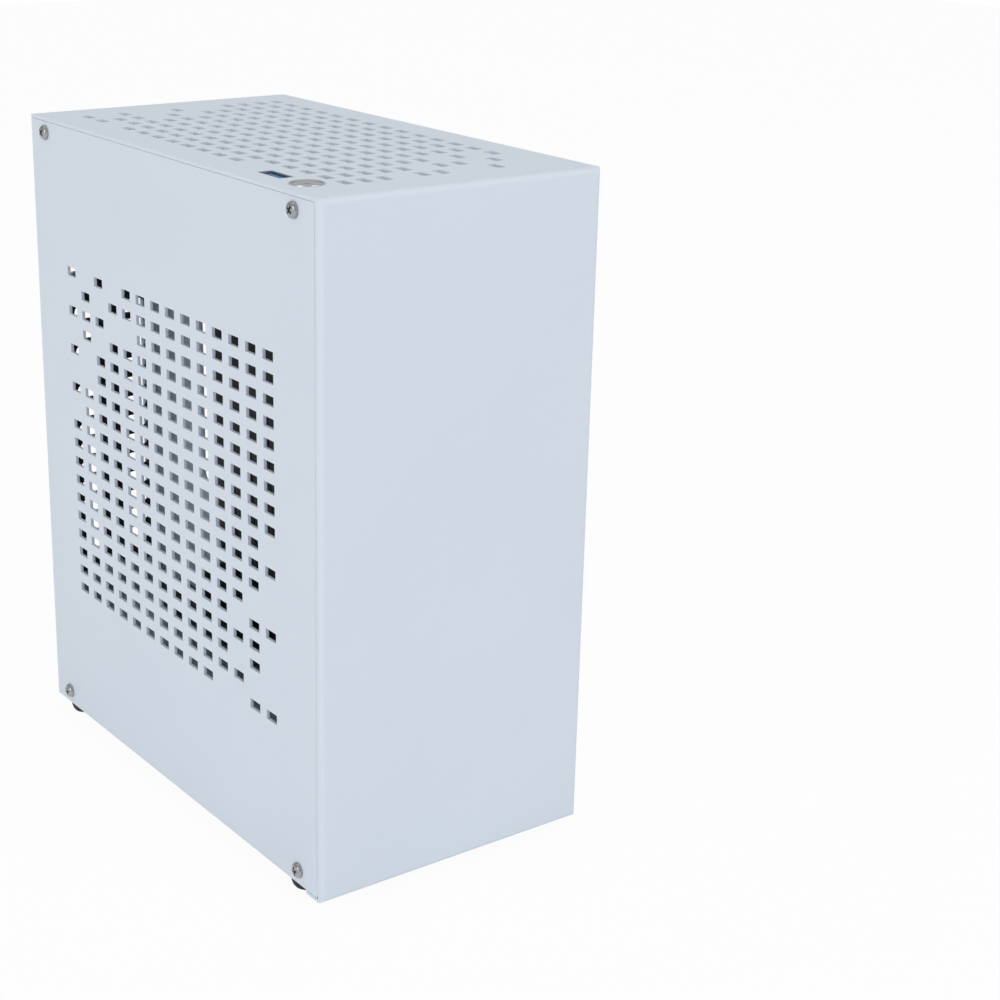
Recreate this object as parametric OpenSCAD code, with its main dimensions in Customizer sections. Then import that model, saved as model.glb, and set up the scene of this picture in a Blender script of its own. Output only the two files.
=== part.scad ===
// Small upright computer case in white sheet steel for a 170 mm square board
// and a two-slot graphics card that stands back to back with it.
// The plain front faces -Y, the perforated card side faces -X, and Z is up.
// The origin is on the table, under the middle of the case.

/* [Case] */
// Width across both side panels
case_w = 114; // [112:1:124]
// Depth from the plain front to the rear panel
case_d = 206; // [204:1:230]
// Height of the case above its feet
case_h = 246; // [245:1:270]
// Sheet thickness of the cover and of the side panels
cover_sheet = 1.2; // [1:0.1:1.4]
// Sheet thickness of the inner frame
frame_sheet = 1; // [0.8:0.1:1.1]
// Outside radius of the bends round the front
bend_r = 2; // [1.6:0.1:2.4]
// Depth of the lip that the cover folds under the floor
lip_d = 9.5; // [8:0.5:12]
// Depth of the narrow returns down both sides of the front
return_d = 2.4; // [2.2:0.1:3]
// Height of the bent flanges that the side panels screw to
flange_h = 12; // [11:0.5:14]

/* [Side panels] */
// Gap round a side panel
panel_gap = 0.15; // [0.1:0.05:0.4]
// Height of a side panel's lower edge above the underside of the case
panel_lift = 1.5; // [1.4:0.1:2.4]
// Distance of the panel screws from the panel's front and rear edges
screw_inset_y = 12; // [11:0.5:16]
// Distance of the panel screws from the panel's upper edge
screw_inset_top = 4.2; // [3.9:0.1:4.8]
// Distance of the panel screws from the panel's lower edge
screw_inset_low = 5.4; // [4.8:0.1:6]
// Diameter of a screw's thread
screw_d = 3; // [2.5:0.5:3]
// Diameter of a screw's head
screw_head_d = 5.8; // [5.4:0.1:6.4]
// Height of a screw's head
screw_head_h = 1.9; // [1.6:0.1:2.2]
// Length of a screw's thread
screw_l = 5; // [4:0.5:6]

/* [Vents] */
// Length of a vent hole, front to rear
vent_l = 6.7; // [6:0.1:7.5]
// Height of a vent hole
vent_w = 3.6; // [3:0.1:4.2]
// Spacing of the vent holes, front to rear
vent_pitch_l = 11.14; // [10.5:0.02:11.3]
// Spacing of the vent holes, from row to row
vent_pitch_w = 7.67; // [7.2:0.01:7.8]

/* [Power supply bay] */
// Width of the power supply
psu_w = 81.5; // [80:0.5:83]
// Height of the power supply
psu_h = 40.5; // [40:0.5:42]
// Length of the power supply
psu_l = 150; // [140:1:152]
// Free height above the power supply
psu_room = 1.2; // [1:0.1:1.4]
// Distance of its screw holes from its edges
psu_hole_inset = 5; // [4.5:0.1:5.5]

/* [Board] */
// Length of the square board's side
board_w = 170; // [168:1:172]
// Thickness of the board
board_t = 1.6; // [1.4:0.1:1.8]
// Height of the board's standoffs
standoff_h = 6.35; // [6:0.05:7]
// Width across the flats of a standoff
standoff_flats = 5; // [4.5:0.1:5.5]
// Length of the connector opening
io_l = 158.75; // [156:0.25:160]
// Depth of the connector opening
io_d = 44.45; // [43:0.05:46]

/* [Card slots] */
// Width of the card chamber between side panel and divider
card_room = 45.8; // [45:0.1:46.8]
// Spacing of the two card slots
slot_pitch = 20.32; // [20:0.04:20.6]
// Width of a slot cover
slot_cover_w = 18.42; // [18:0.02:18.8]
// Length of a slot cover
slot_cover_l = 121; // [118:0.5:122]
// Thickness of a slot cover
slot_cover_t = 0.8; // [0.7:0.1:1]
// Depth of the pocket that hides the covers' tabs
pocket_d = 12; // [11.5:0.1:12.5]

/* [Feet] */
// Diameter of a rubber foot
foot_d = 12; // [10:0.5:13]
// Height of a rubber foot
foot_h = 5; // [4:0.5:6]
// Distance of the feet from the sides of the case
foot_side = 8.5; // [8:0.5:10]
// Distance of the front feet from the front
foot_front_end = 22; // [19:0.5:25]
// Distance of the rear feet from the rear
foot_rear_end = 8.1; // [7.8:0.1:8.4]

/* [Button and port] */
// Diameter of the power button's ring
button_ring_d = 11.8; // [11.6:0.1:12.6]
// Diameter of the power button's cap
button_d = 10; // [9.6:0.1:10.2]
// Travel of the power button
button_travel = 1.2; // [0.8:0.1:1.6]
// Distance of the power button from the left side
button_side = 11.5; // [11.3:0.1:12.5]
// Distance of the power button from the front
button_front = 25; // [24.6:0.1:26]
// Distance of the port from the left side
usb_side = 11.8; // [11.5:0.1:12.5]
// Distance of the port from the front
usb_front = 44.6; // [44:0.1:46]

/* [Riser] */
// Number of ribbon strips
ribbon_n = 6; // [6]
// Width of one ribbon strip
ribbon_w = 13.6; // [13:0.1:14]
// Spacing of the ribbon strips
ribbon_pitch = 14.2; // [14.1:0.1:14.4]
// Thickness of a ribbon strip
ribbon_t = 0.9; // [0.7:0.1:1]
// Length of the riser's card slot
riser_slot_l = 89; // [88:0.5:90]
// Height of the riser's card slot
riser_slot_h = 11.2; // [11:0.1:11.6]

/* [Hidden] */
$fn = 48;

// Overrun of every cut, and the clearances of the fits
over = 1;
fit_gap = 0.2;
shank_fit = 0.1;

// Length of a rivet's upset tail, which is all that stands out at the rear
rivet_tail_h = 0.8;

// Colours
white_paint = [0.85, 0.88, 0.91];
black_plastic = [0.09, 0.09, 0.1];
steel = [0.72, 0.73, 0.74];

// Outer planes of the case and the faces of its sheets
x_out = case_w / 2;
x_in = x_out - cover_sheet;
x_flange = x_in - fit_gap;
y_front = -(case_d + rivet_tail_h) / 2;
y_rear = y_front + case_d;
y_cover_in = y_front + cover_sheet;
y_frame_front = y_cover_in + fit_gap;
y_rear_in = y_rear - frame_sheet;
z_bottom = foot_h;
z_top = z_bottom + case_h;
z_floor = z_bottom + cover_sheet;
z_floor_top = z_floor + frame_sheet;
z_roof = z_top - cover_sheet;
z_frame = z_roof - frame_sheet;

// Side panel edges and screw places
y_panel = [y_front + return_d + panel_gap, y_rear];
z_panel = [z_bottom + panel_lift, z_roof - panel_gap];
screw_places = [
  for (
    y = [y_panel[0] + screw_inset_y, y_panel[1] - screw_inset_y],
    z = [z_panel[0] + screw_inset_low, z_panel[1] - screw_inset_top]
  ) [y, z]
];

// Vent fields: the numbers of the holes left out of each row, counted from the rear or from the left
side_columns = 14;
side_blanks = [
  [2, 4], [1, 3], [4, 5], [1, 3], [2], [1, 2], [], [1], [], [14], [], [14], [13, 14], [12], [14], [12, 14],
  [13, 14], [11, 12]
];
top_columns = 12;
top_blanks = [
  [2, 4, 5, 7, 8], [4, 6], [1], [], [], [], [], [], [], [], [], [1], [1], [1, 9, 11], [1, 7, 10, 12],
  [1, 5, 8, 9, 11, 12]
];
top_vent_shift = [0.6, 1.2];
side_vent_shift = [0.5, 1.1];
rear_columns = 8;
rear_blanks = [[], [], []];
rear_vent_drop = 22;

// Divider and board
x_divider = -x_in + card_room;
x_divider_right = x_divider + frame_sheet;
x_board = x_divider_right + standoff_h;
x_board_face = x_board + board_t;
bridge_z = z_floor_top + psu_h + psu_room;
bridge_top = bridge_z + frame_sheet;
board_lift = 3.8;
board_rear_gap = 1.3;
z_board = bridge_top + board_lift;
y_board = y_rear_in - board_rear_gap;
board_hole_edge = 6.35;
board_hole_rear = 10.16;
board_hole_offset = 33.02;
board_hole_front = 165.1;
board_holes = [
  [y_board - board_hole_offset, z_board + board_hole_edge],
  [y_board - board_hole_rear, z_board + board_w - board_hole_edge],
  [y_board - board_hole_front, z_board + board_hole_edge],
  [y_board - board_hole_front, z_board + board_w - board_hole_edge]
];
io_below = 3.8;
io_end = 1.5;
x_io = x_board_face - io_below;
z_io = z_board + io_end;

// Frame details
rim_side = 3;
corner_w = 22;
rim_end = 10;
web_in = 10;
tab_h = 12;
notch_gap = 1.6;
notch_z = z_board + board_w + notch_gap;
notch_front = 11.5;
notch_rear = 14;
bridge_past = 16;
bridge_l = psu_l + bridge_past;
bridge_x = x_flange - frame_sheet - fit_gap;
bridge_foot = 9;
y_bridge = y_rear_in - bridge_l;
cpu_cut = [84, 76];
cpu_cut_lift = 52;
corner_r = 4;
tray_gap = 0.3;

// Screw heads: dome over its chord, and the cross recess as shares of the head
head_dome_share = 1.1;
cross_shares = [0.56, 0.13];

// Rivets: head, shank and tail
rivet_head_d = 5;
rivet_head_h = 1;
rivet_d = 3.2;
rivet_tail_d = 4.2;
rivet_x = 34;
lip_screw_in = 5.9;
foot_rivet_end = 36;
y_rivet = y_rear_in - web_in / 2;
divider_flange_w = 11;

// Card slots: the bracket's place, the two slots and their covers
card_back_room = 5;
bracket_offset = 7.3;
x_card = x_divider - card_back_room - board_t / 2;
slot_x = [for (n = [0, 1]) x_card - board_t / 2 - bracket_offset - n * slot_pitch];
y_slot_out = y_rear_in - pocket_d;
y_slot_in = y_slot_out - frame_sheet;
slot_web = 9;
slot_lift = 3;
z_slot_low = bridge_top + slot_lift + slot_web;
z_shelf = z_slot_low + slot_cover_l + 3 * frame_sheet;
slot_open_w = 14.4;
slot_open_margin = 7;
slot_box_gap = 0.4;
x_slot_box = [-x_flange + frame_sheet + slot_box_gap, x_divider - frame_sheet - fit_gap];
window_margin = 0.8;
window_above = 11;
cover_hole = [10.4, 5.4];
cover_hole_r = 2.6;
cover_hole_n = 13;
cover_hole_margin = 12;
tab_l = 11.4;
tab_screw = 6;
cover_screw_head_d = 6.4;
rivet_places = [
  for (side = [-1, 1], y = [y_bridge + foot_rivet_end, y_rear_in - foot_rivet_end])
    [[side * (bridge_x - bridge_foot / 2 - frame_sheet / 2), y, z_floor_top + frame_sheet], [0, 0, 0]],
  for (y = [y_bridge + foot_rivet_end, y_bridge + bridge_l / 2, y_rear_in - foot_rivet_end])
    [[x_divider_right + divider_flange_w / 2, y, bridge_top + frame_sheet], [0, 0, 0]],
  for (x = slot_x) [[x, y_rear_in - frame_sheet, z_slot_low - slot_web / 2], [90, 0, 0]]
];
flush_places = [
  [-rivet_x, y_rivet],
  [rivet_x, y_rivet],
  [x_divider_right + divider_flange_w / 2, y_frame_front + rim_end / 2]
];

// Rubber feet: dome, sole, and the well and neck of their screws
foot_dome_r = 7.6;
foot_sole_d = 9;
foot_well_d = 3.6;
foot_neck_d = 1.8;

// Rear openings of the power supply
z_psu = z_floor_top + psu_h / 2;
psu_corner = [11, 11];
psu_rim = 1.5;
psu_hole_d = 3.5;

// Button: ring, barrel, nut, switch and spring
x_button = -x_out + button_side;
y_button = y_front + button_front;
ring_h = 0.4;
ring_edge = 0.2;
barrel_d = 11;
barrel_l = 9;
nut_d = 13.8;
nut_h = 2.4;
cap_h = 3.4;
cap_sink = 0.2;
stem_d = 3.4;
switch_d = 9.4;
switch_l = 8;
lens_d = 2;
spring_wire = 0.5;
spring_d = 6.4;
spring_turns = 4;
spring_steps = 12;
spring_sides = 6;
spring_gap = 0.15;
z_cap_top = z_top + ring_h - cap_sink;
z_cap_low = z_cap_top - cap_h;
z_switch = z_top - cover_sheet - barrel_l;
plunger_h = 1;
z_stop = z_switch + plunger_h;

// Port: shell, tongue, contacts, small board and bracket
x_usb = -x_out + usb_side;
y_usb = y_front + usb_front;
usb_w = 14.7;
usb_h = 6;
usb_wall = 0.4;
usb_l = 17;
usb_edge = 0.15;
tongue = [2.2, 12, 11.4];
tongue_shift = 0.7;
tongue_base = 6;
contact = [0.15, 0.9, 9];
z_usb_low = z_roof - usb_l;
port_board_t = 1.6;
port_board_size = [15, 30];
port_board_shift = [5, 4];
bracket_leg = 6;
bracket_w = 9;
bracket_foot_l = 10.5;
port_screw_d = 2;
port_screw_head = [3.8, 1.3];
port_screw_insets = [3, 9];

// Cables: diameters, and routes that follow the parts they run past
usb_cable_d = 5.4;
switch_cable_d = 2.6;
x_lead = x_divider_right + usb_cable_d / 2 + fit_gap;
x_switch_lead = x_divider_right + switch_cable_d / 2 + fit_gap;
lead_clear = 13;
lead_pitch = 7;
lead_hop = 1.2;
lead_stop = 70;
switch_stop = 84;
cable_sides = 8;
y_lead = y_board - board_w - lead_clear;
y_switch_lead = y_lead - lead_pitch;
z_port_low = z_usb_low - port_board_t;
z_over = notch_z + usb_cable_d / 2 + lead_hop;
z_lead_end = z_board + lead_stop;
z_switch_end = z_board + switch_stop;
usb_plug_size = [9, 13, 26];
switch_plug_size = [2.7, 5.4, 14];
usb_plug_wall = 1.7;
clip_size = [7, 17, 6];
clip_drops = [30, 66];
usb_route = [
  [x_usb + port_board_shift[0] - 3, y_usb + 4, z_port_low],
  [x_usb + port_board_shift[0] - 3, y_usb + 4, z_port_low - 4],
  [x_usb + port_board_shift[0] + 4, y_usb + 1, z_over - 3],
  [(x_usb + x_divider) / 2, y_usb - 4, z_over],
  [x_divider - 4, y_lead + 10, z_over + 2],
  [x_divider_right + 4, y_lead + 3, z_over + 1],
  [x_lead, y_lead, notch_z - 14],
  [x_lead, y_lead, notch_z - 40],
  [x_lead, y_lead, (notch_z + z_lead_end) / 2],
  [x_lead, y_lead, z_lead_end + 10],
  [x_lead, y_lead, z_lead_end]
];
switch_route = [
  [x_button, y_button, z_switch - switch_l],
  [x_button, y_button, z_switch - switch_l - 4],
  [x_button + 6, y_button - 2, z_over - 6],
  [(x_button + x_divider) / 2, y_switch_lead + 5, z_over - 4],
  [x_divider - 5, y_switch_lead + 5, z_over + 4],
  [x_divider_right + 2, y_switch_lead + 4, z_over + 3],
  [x_switch_lead, y_switch_lead, notch_z - 14],
  [x_switch_lead, y_switch_lead, notch_z - 40],
  [x_switch_lead, y_switch_lead, (notch_z + z_switch_end) / 2],
  [x_switch_lead, y_switch_lead, z_switch_end + 8],
  [x_switch_lead, y_switch_lead, z_switch_end]
];

// Riser: boards, slot, latch, ribbon and plug
card_to_slot = 46;
riser_board_t = 1.6;
riser_lift = 13.4;
z_riser = bridge_top + riser_lift;
z_riser_top = z_riser + riser_board_t;
y_riser = y_slot_in - card_to_slot - riser_slot_l / 2;
riser_board_w = 24;
riser_board_gap = 2.5;
x_riser_edge = [x_divider - riser_board_gap - riser_board_w, x_divider - riser_board_gap];
riser_main_l = 95;
riser_ear = [13, 13];
riser_ear_inset = 2.6;
riser_ear_r = 1;
riser_hole_spacing = 104;
riser_hole = [10.5, 4.3];
x_riser_hole = x_riser_edge[0] + riser_ear_inset + riser_ear[0] / 2;
slot_w = 7.4;
slot_key = 1.9;
slot_depth = 8;
slot_end = 2;
slot_rib = [0.5, 3.4, 5.2];
slot_rib_n = 15;
key_at = 14.5;
pin_margin = 3;
pin_row = 1.6;
key_l = 1.8;
pin_n = 82;
pin_gap_after = 71;
pin = [0.8, 0.4, 0.6];
clamp_size = [9, 93, 2];
dimple = [3, 1.6];
post_d = 5.5;
latch_w = 4.6;
latch_ear_t = 1.3;
latch_pin_d = 1.8;
latch_pivot = [3.2, 3.4];
latch_h = 15;
latch_t = 4;
latch_hook = [2.2, 2.4];
latch_thumb = [6, 2.2];
ribbon_bend = 3;
ribbon_top_bend = 5;
ribbon_gap = 0.6;
x_ribbon = x_divider - ribbon_t / 2 - ribbon_gap;
z_ribbon_low = z_riser - clamp_size[2] / 2 - fit_gap;
x_ribbon_start = x_riser_edge[0] + clamp_size[0];
board_slot_inset = 9;
z_plug = z_board + board_w - board_slot_inset;
plug_shift = pocket_d + frame_sheet;
y_plug = y_riser + plug_shift;
plug_stand = 14;
plug_board_t = 1.6;
x_plug = x_board_face + plug_stand;
plug_main = [98, 14];
plug_ear = [9, 12];
plug_ear_lift = 1;
plug_tab = 6.4;
plug_fork = 5;
ear_hole = [4.8, 3];
plug_drop = 2;
plug_finger = [8.4, 84];
plug_clamp_size = [3.4, 98, 8];
x_ribbon_plug = x_plug + plug_board_t + ribbon_t / 2 + fit_gap / 2;
ribbon_over = 3.4;
z_ribbon_top = notch_z + ribbon_over;
plug_screw_in = 4;
plug_notch = [2, 5];

// Pairs of planes: w wide about c, l on from a, l back from a
function mid(c, w) = [c - w / 2, c + w / 2];
function run(a, l) = [a, a + l];
function back(a, l) = [a - l, a];

// A box between two pairs of planes and two heights
module span(x, y, z) {
  translate([x[0], y[0], z[0]]) cube([x[1] - x[0], y[1] - y[0], z[1] - z[0]]);
}

// A flat rectangle between two pairs of lines
module area(x, y) {
  translate([x[0], y[0]]) square([x[1] - x[0], y[1] - y[0]]);
}

// A rectangle with round corners between two pairs of lines
module round_area(x, y, r) {
  area([x[0] + r, x[1] - r], y);
  area(x, [y[0] + r, y[1] - r]);
  for (u = [x[0] + r, x[1] - r], v = [y[0] + r, y[1] - r]) translate([u, v]) circle(r);
}

// Stands a flat shape upright: its first axis runs along Y and it gains thickness towards +X
module along_side(x, t) {
  translate([x, 0, 0]) rotate([90, 0, 90]) linear_extrude(t) children();
}

// Stands a flat shape upright: its first axis runs along X and it gains thickness towards +Y
module along_rear(y, t) {
  translate([0, y + t, 0]) rotate([90, 0, 0]) linear_extrude(t) children();
}

// Field of vent holes, centred, with the holes in the table left out
module vent_holes(columns, blanks, pitch, hole) {
  for (row = [1:len(blanks)], column = [1:columns])
    if (len(search(column, blanks[row - 1])) == 0)
      translate([(column - (columns + 1) / 2) * pitch[0], ((len(blanks) + 1) / 2 - row) * pitch[1]])
        square(hole, center = true);
}

// Screw along Z with a domed cross-recessed head; its seat is at zero and its thread points down
module screw(head_d, head_h, thread_d, thread_l) {
  dome_r = head_dome_share * (head_d * head_d / 4 + head_h * head_h) / (2 * head_h);
  cross = head_d * cross_shares;
  difference() {
    intersection() {
      cylinder(d = head_d, h = head_h);
      translate([0, 0, head_h - dome_r]) sphere(r = dome_r);
    }
    for (turn = [0, 90]) rotate(turn) span(mid(0, cross[0]), mid(0, cross[1]), [head_h / 2, 2 * head_h]);
  }
  translate([0, 0, -thread_l]) cylinder(d = thread_d, h = thread_l + head_h / 4);
}

module case_screw() {
  screw(screw_head_d, screw_head_h, screw_d, screw_l);
}

// Blind rivet through two frame sheets
module rivet() {
  tail = 2 * frame_sheet;
  cylinder(d1 = rivet_head_d, d2 = rivet_d, h = rivet_head_h);
  translate([0, 0, -tail]) cylinder(d = rivet_d, h = tail);
  translate([0, 0, -tail - rivet_tail_h]) cylinder(d = rivet_tail_d, h = rivet_tail_h);
}

module at_rivets() {
  for (place = rivet_places) translate(place[0]) rotate(place[1]) children();
}

// Countersunk rivet that ends flush with the top of the upper frame
module flush_rivet(gap) {
  cylinder(d1 = rivet_head_d, d2 = rivet_d, h = rivet_head_h);
  translate([0, 0, -frame_sheet]) cylinder(d = rivet_d + gap, h = frame_sheet);
  translate([0, 0, -2 * frame_sheet]) cylinder(d1 = rivet_tail_d + gap, d2 = rivet_d + gap,
    h = frame_sheet);
}

module at_flush_rivets() {
  for (place = flush_places) translate([place[0], place[1], z_frame - frame_sheet]) rotate([180, 0, 0])
    children();
}

module rivet_holes() {
  at_flush_rivets() flush_rivet(shank_fit);
  depth = 2 * frame_sheet + rivet_tail_h;
  at_rivets() translate([0, 0, rivet_tail_h / 2 - depth]) cylinder(d = rivet_d + shank_fit, h = depth);
}

// Cover: top, front and lip bent from one sheet

// Side outline of the cover, drawn in by an inset
module cover_side(inset) {
  r = bend_r - inset;
  y = [y_front + inset, y_rear + inset * 2];
  z = [z_bottom + inset, z_top - inset];
  area([y[0] + r, y[1]], z);
  area(y, [z[0] + r, z[1] - r]);
  for (v = [z[0] + r, z[1] - r]) translate([y[0] + r, v]) circle(r);
}

// Plan outline of the cover, drawn in by an inset
module cover_plan(inset) {
  r = bend_r - inset;
  x = [-x_out + inset, x_out - inset];
  y = [y_front + inset, y_rear + inset * 2];
  area([x[0] + r, x[1] - r], y);
  area(x, [y[0] + r, y[1]]);
  for (u = [x[0] + r, x[1] - r]) translate([u, y[0] + r]) circle(r);
}

module cover_block(inset) {
  intersection() {
    along_side(-x_out, case_w) cover_side(inset);
    translate([0, 0, z_bottom]) linear_extrude(case_h) cover_plan(inset);
  }
}

// Cuts of the top vents, which pass through the cover and the frame sheet under it
module top_vents(z, h) {
  translate([top_vent_shift[0], (y_front + y_rear) / 2 + top_vent_shift[1], z]) linear_extrude(h)
    vent_holes(top_columns, top_blanks, [vent_pitch_w, vent_pitch_l], [vent_w, vent_l]);
}

module front_top_cover() {
  relief = cover_sheet / 2;
  color(white_paint) difference() {
    cover_block(0);
    cover_block(cover_sheet);
    span([-case_w, case_w], [y_front + lip_d, y_rear + over], [0, z_roof]);
    span([-case_w, case_w], [y_front + return_d, y_front + lip_d + over], [z_floor, z_roof]);
    top_vents(z_roof - over, cover_sheet + 2 * over);
    translate([x_button, y_button, z_roof - over])
      cylinder(d = barrel_d + shank_fit, h = cover_sheet + 2 * over);
    span(mid(x_usb, usb_h), mid(y_usb, usb_w), [z_roof - over, z_top + over]);
    translate([-case_w, y_front + return_d, z_floor + relief]) rotate([0, 90, 0])
      cylinder(r = relief, h = 2 * case_w);
    lip_screw_places() cylinder(d = screw_d + shank_fit, h = 2 * screw_l, center = true);
  }
}

// Floor, upper frame, rear panel, bridge, divider and slot bracket

module lip_screw_places() {
  for (x = [-rivet_x, rivet_x]) translate([x, y_front + lip_screw_in, z_bottom]) rotate([180, 0, 0])
    children();
}

module foot_places(index) {
  x = (index % 2 == 0 ? -1 : 1) * (x_out - foot_side);
  y = index < 2 ? y_front + foot_front_end : y_rear - foot_rear_end;
  translate([x, y, 0]) children();
}

module side_screw_holes() {
  for (place = screw_places)
    translate([-case_w, place[0], place[1]]) rotate([0, 90, 0])
      cylinder(d = screw_d + shank_fit, h = 2 * case_w);
}

module floor_tray() {
  y = [y_frame_front, y_rear_in];
  color(white_paint) difference() {
    span([-x_flange, x_flange], y, [z_floor, z_floor + flange_h]);
    span((x_flange - frame_sheet) * [-1, 1], [y[0] + frame_sheet, y[1] + over],
      [z_floor_top, z_floor + flange_h + over]);
    side_screw_holes();
    rivet_holes();
    lip_screw_places() cylinder(d = screw_d + shank_fit, h = 2 * screw_l, center = true);
    for (index = [0:3]) foot_places(index) cylinder(d = screw_d + shank_fit, h = z_floor_top + over);
  }
}

module upper_frame() {
  y = [y_frame_front, y_rear_in];
  y_corner = y_usb + port_board_shift[1] + port_board_size[1] / 2 + bracket_leg + 2 * frame_sheet;
  inner_z = [z_roof - flange_h - over, z_frame];
  color(white_paint) difference() {
    span([-x_flange, x_flange], y, [z_roof - flange_h, z_roof]);
    span((x_flange - frame_sheet) * [-1, 1], [y[0] + frame_sheet, y[1] + over], inner_z);
    top_vents(z_frame - over, frame_sheet + 2 * over);
    translate([0, 0, z_frame - over]) linear_extrude(frame_sheet + 2 * over)
      round_area([rim_side - x_flange, x_button + corner_w / 2], [y[0] + rim_end / 2, y_corner], corner_r);
    side_screw_holes();
    rivet_holes();
  }
}

module rear_panel() {
  plate_x = [-x_flange, x_flange];
  plate_z = [z_floor, z_roof];
  flange_z = [z_floor + flange_h + tray_gap, z_roof - flange_h - tray_gap];
  color(white_paint) difference() {
    union() {
      along_rear(y_rear_in, frame_sheet) difference() {
        area(plate_x, plate_z);
        area([x_io, x_io + io_d], [z_io, z_io + io_l]);
        area([x_slot_box[0] + frame_sheet + window_margin, x_slot_box[1] - frame_sheet - window_margin],
          [z_slot_low + frame_sheet + window_margin, z_shelf + window_above]);
        psu_window();
        translate([0, z_top - rear_vent_drop])
          vent_holes(rear_columns, rear_blanks, [vent_pitch_l, vent_pitch_w], [vent_l, vent_w]);
        for (z = divider_tab_z()) area([x_divider - fit_gap, x_divider_right + fit_gap],
          [z - fit_gap, z + tab_h + fit_gap]);
      }
      for (side = [0, 1]) mirror([side, 0, 0])
        span([x_flange - frame_sheet, x_flange], [y_rear_in - web_in, y_rear_in], flange_z);
      for (side = [0, 1]) mirror([side, 0, 0])
        span([psu_w / 2 + psu_rim, bridge_x - frame_sheet - fit_gap], back(y_rear_in, web_in),
          run(z_floor_top, frame_sheet));
      span((psu_w / 2 + over) * [-1, 1], [y_rear_in - web_in, y_rear_in], [z_frame - frame_sheet, z_frame]);
    }
    for (index = [2, 3]) foot_places(index) cylinder(d = screw_d + shank_fit, h = z_floor_top + 2 * over);
    rivet_holes();
  }
}

// Opening for a power supply, with its four screw holes outside the cut corners
module psu_window() {
  half = [psu_w / 2 - psu_rim, psu_h / 2 - psu_rim - frame_sheet];
  translate([0, z_psu + frame_sheet]) difference() {
    area(half[0] * [-1, 1], half[1] * [-1, 1]);
    for (u = [-1, 1], v = [-1, 1]) translate([u * half[0], v * half[1]])
      square(2 * psu_corner, center = true);
  }
  for (u = [-1, 1], v = [-1, 1])
    translate([u * (psu_w / 2 - psu_hole_inset), z_psu + v * (psu_h / 2 - psu_hole_inset)])
      circle(d = psu_hole_d);
}

module psu_bridge() {
  y = [y_bridge, y_rear_in];
  color(white_paint) difference() {
    span([-bridge_x, bridge_x], y, [z_floor_top, bridge_top]);
    span((bridge_x - frame_sheet) * [-1, 1], [y[0] - over, y[1] + over],
      [z_floor_top + frame_sheet, bridge_z]);
    span((bridge_x - frame_sheet - bridge_foot) * [-1, 1], [y[0] - over, y[1] + over],
      [z_floor, z_floor_top + frame_sheet + over]);
    span((bridge_x - frame_sheet) * [-1, 1], [y[1] - web_in - fit_gap, y[1] + over],
      [z_floor, z_floor_top + frame_sheet + over]);
    rivet_holes();
    riser_post_places() cylinder(d = screw_d + shank_fit, h = 3 * riser_lift, center = true);
    side_screw_holes();
  }
}

function divider_tab_z() = [bridge_top + tab_h, z_shelf - tab_h];

module divider() {
  y = [y_frame_front + frame_sheet + fit_gap, y_rear_in];
  cut_y = mid(y_board - board_w / 2, cpu_cut[0]);
  cut_z = run(z_board + cpu_cut_lift, cpu_cut[1]);
  color(white_paint) difference() {
    union() {
      along_side(x_divider, frame_sheet) difference() {
        union() {
          area([y[0], y[1] - fit_gap], [bridge_top, z_frame]);
          for (z = divider_tab_z()) area([y[1] - web_in, y[1] + frame_sheet], [z, z + tab_h]);
        }
        area([y[0] + notch_front, y[1] - notch_rear], [notch_z, z_top]);
        area([y[1] - notch_rear - over, y[1] + over], [z_frame - frame_sheet - fit_gap, z_top]);
        area([y_slot_in - over - slot_cover_t, y[1] - web_in - over], [z_frame, z_frame + over]);
        round_area(cut_y, cut_z, corner_r);
        for (hole = board_holes) translate(hole) circle(d = screw_d + shank_fit);
      }
      span([x_divider_right - over / 2, x_divider_right + divider_flange_w],
        [y_bridge, y_rear_in - fit_gap], [bridge_top, bridge_top + frame_sheet]);
      span([x_divider_right - over / 2, x_divider_right + divider_flange_w], [y[0], y[0] + notch_front],
        [z_frame - frame_sheet, z_frame]);
    }
    rivet_holes();
  }
}

// Pocket for the card ends: a recessed plate with two slots, cheeks, a lower web and a shelf
module slot_bracket() {
  color(white_paint) difference() {
    union() {
      along_rear(y_slot_in, frame_sheet) difference() {
        area(x_slot_box, [z_slot_low, z_shelf]);
        for (x = slot_x)
          area(mid(x, slot_open_w), [z_slot_low + slot_open_margin, z_shelf - slot_open_margin]);
      }
      for (x = [x_slot_box[0], x_slot_box[1] - frame_sheet])
        span([x, x + frame_sheet], [y_slot_in, y_rear_in], [z_slot_low, z_shelf]);
      span(x_slot_box, [y_slot_in, y_rear_in], [z_slot_low, z_slot_low + frame_sheet]);
      span(x_slot_box, [y_slot_in, y_rear_in], [z_shelf - frame_sheet, z_shelf]);
      span(x_slot_box, [y_rear_in - frame_sheet, y_rear_in],
        [z_slot_low - slot_web, z_slot_low + frame_sheet]);
    }
    for (x = slot_x) translate([x, y_slot_out + tab_screw, z_shelf])
      cylinder(d = screw_d + shank_fit, h = 4 * frame_sheet, center = true);
    rivet_holes();
  }
}

// Side panels and what fastens the sheets

module side_panel() {
  along_side(-x_out, cover_sheet) difference() {
    area(y_panel, z_panel);
    translate([-side_vent_shift[0], side_vent_shift[1]])
      translate([(y_panel[0] + y_panel[1]) / 2, (z_panel[0] + z_panel[1]) / 2]) mirror([1, 0])
        vent_holes(side_columns, side_blanks, [vent_pitch_l, vent_pitch_w], [vent_l, vent_w]);
    for (place = screw_places) translate(place) circle(d = screw_d + shank_fit);
  }
}

module side_screws() {
  for (place = screw_places) translate([-x_out, place[0], place[1]]) rotate([0, -90, 0]) case_screw();
}

module left_panel() {
  color(white_paint) side_panel();
}

module right_panel() {
  color(white_paint) mirror([1, 0, 0]) side_panel();
}

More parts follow.
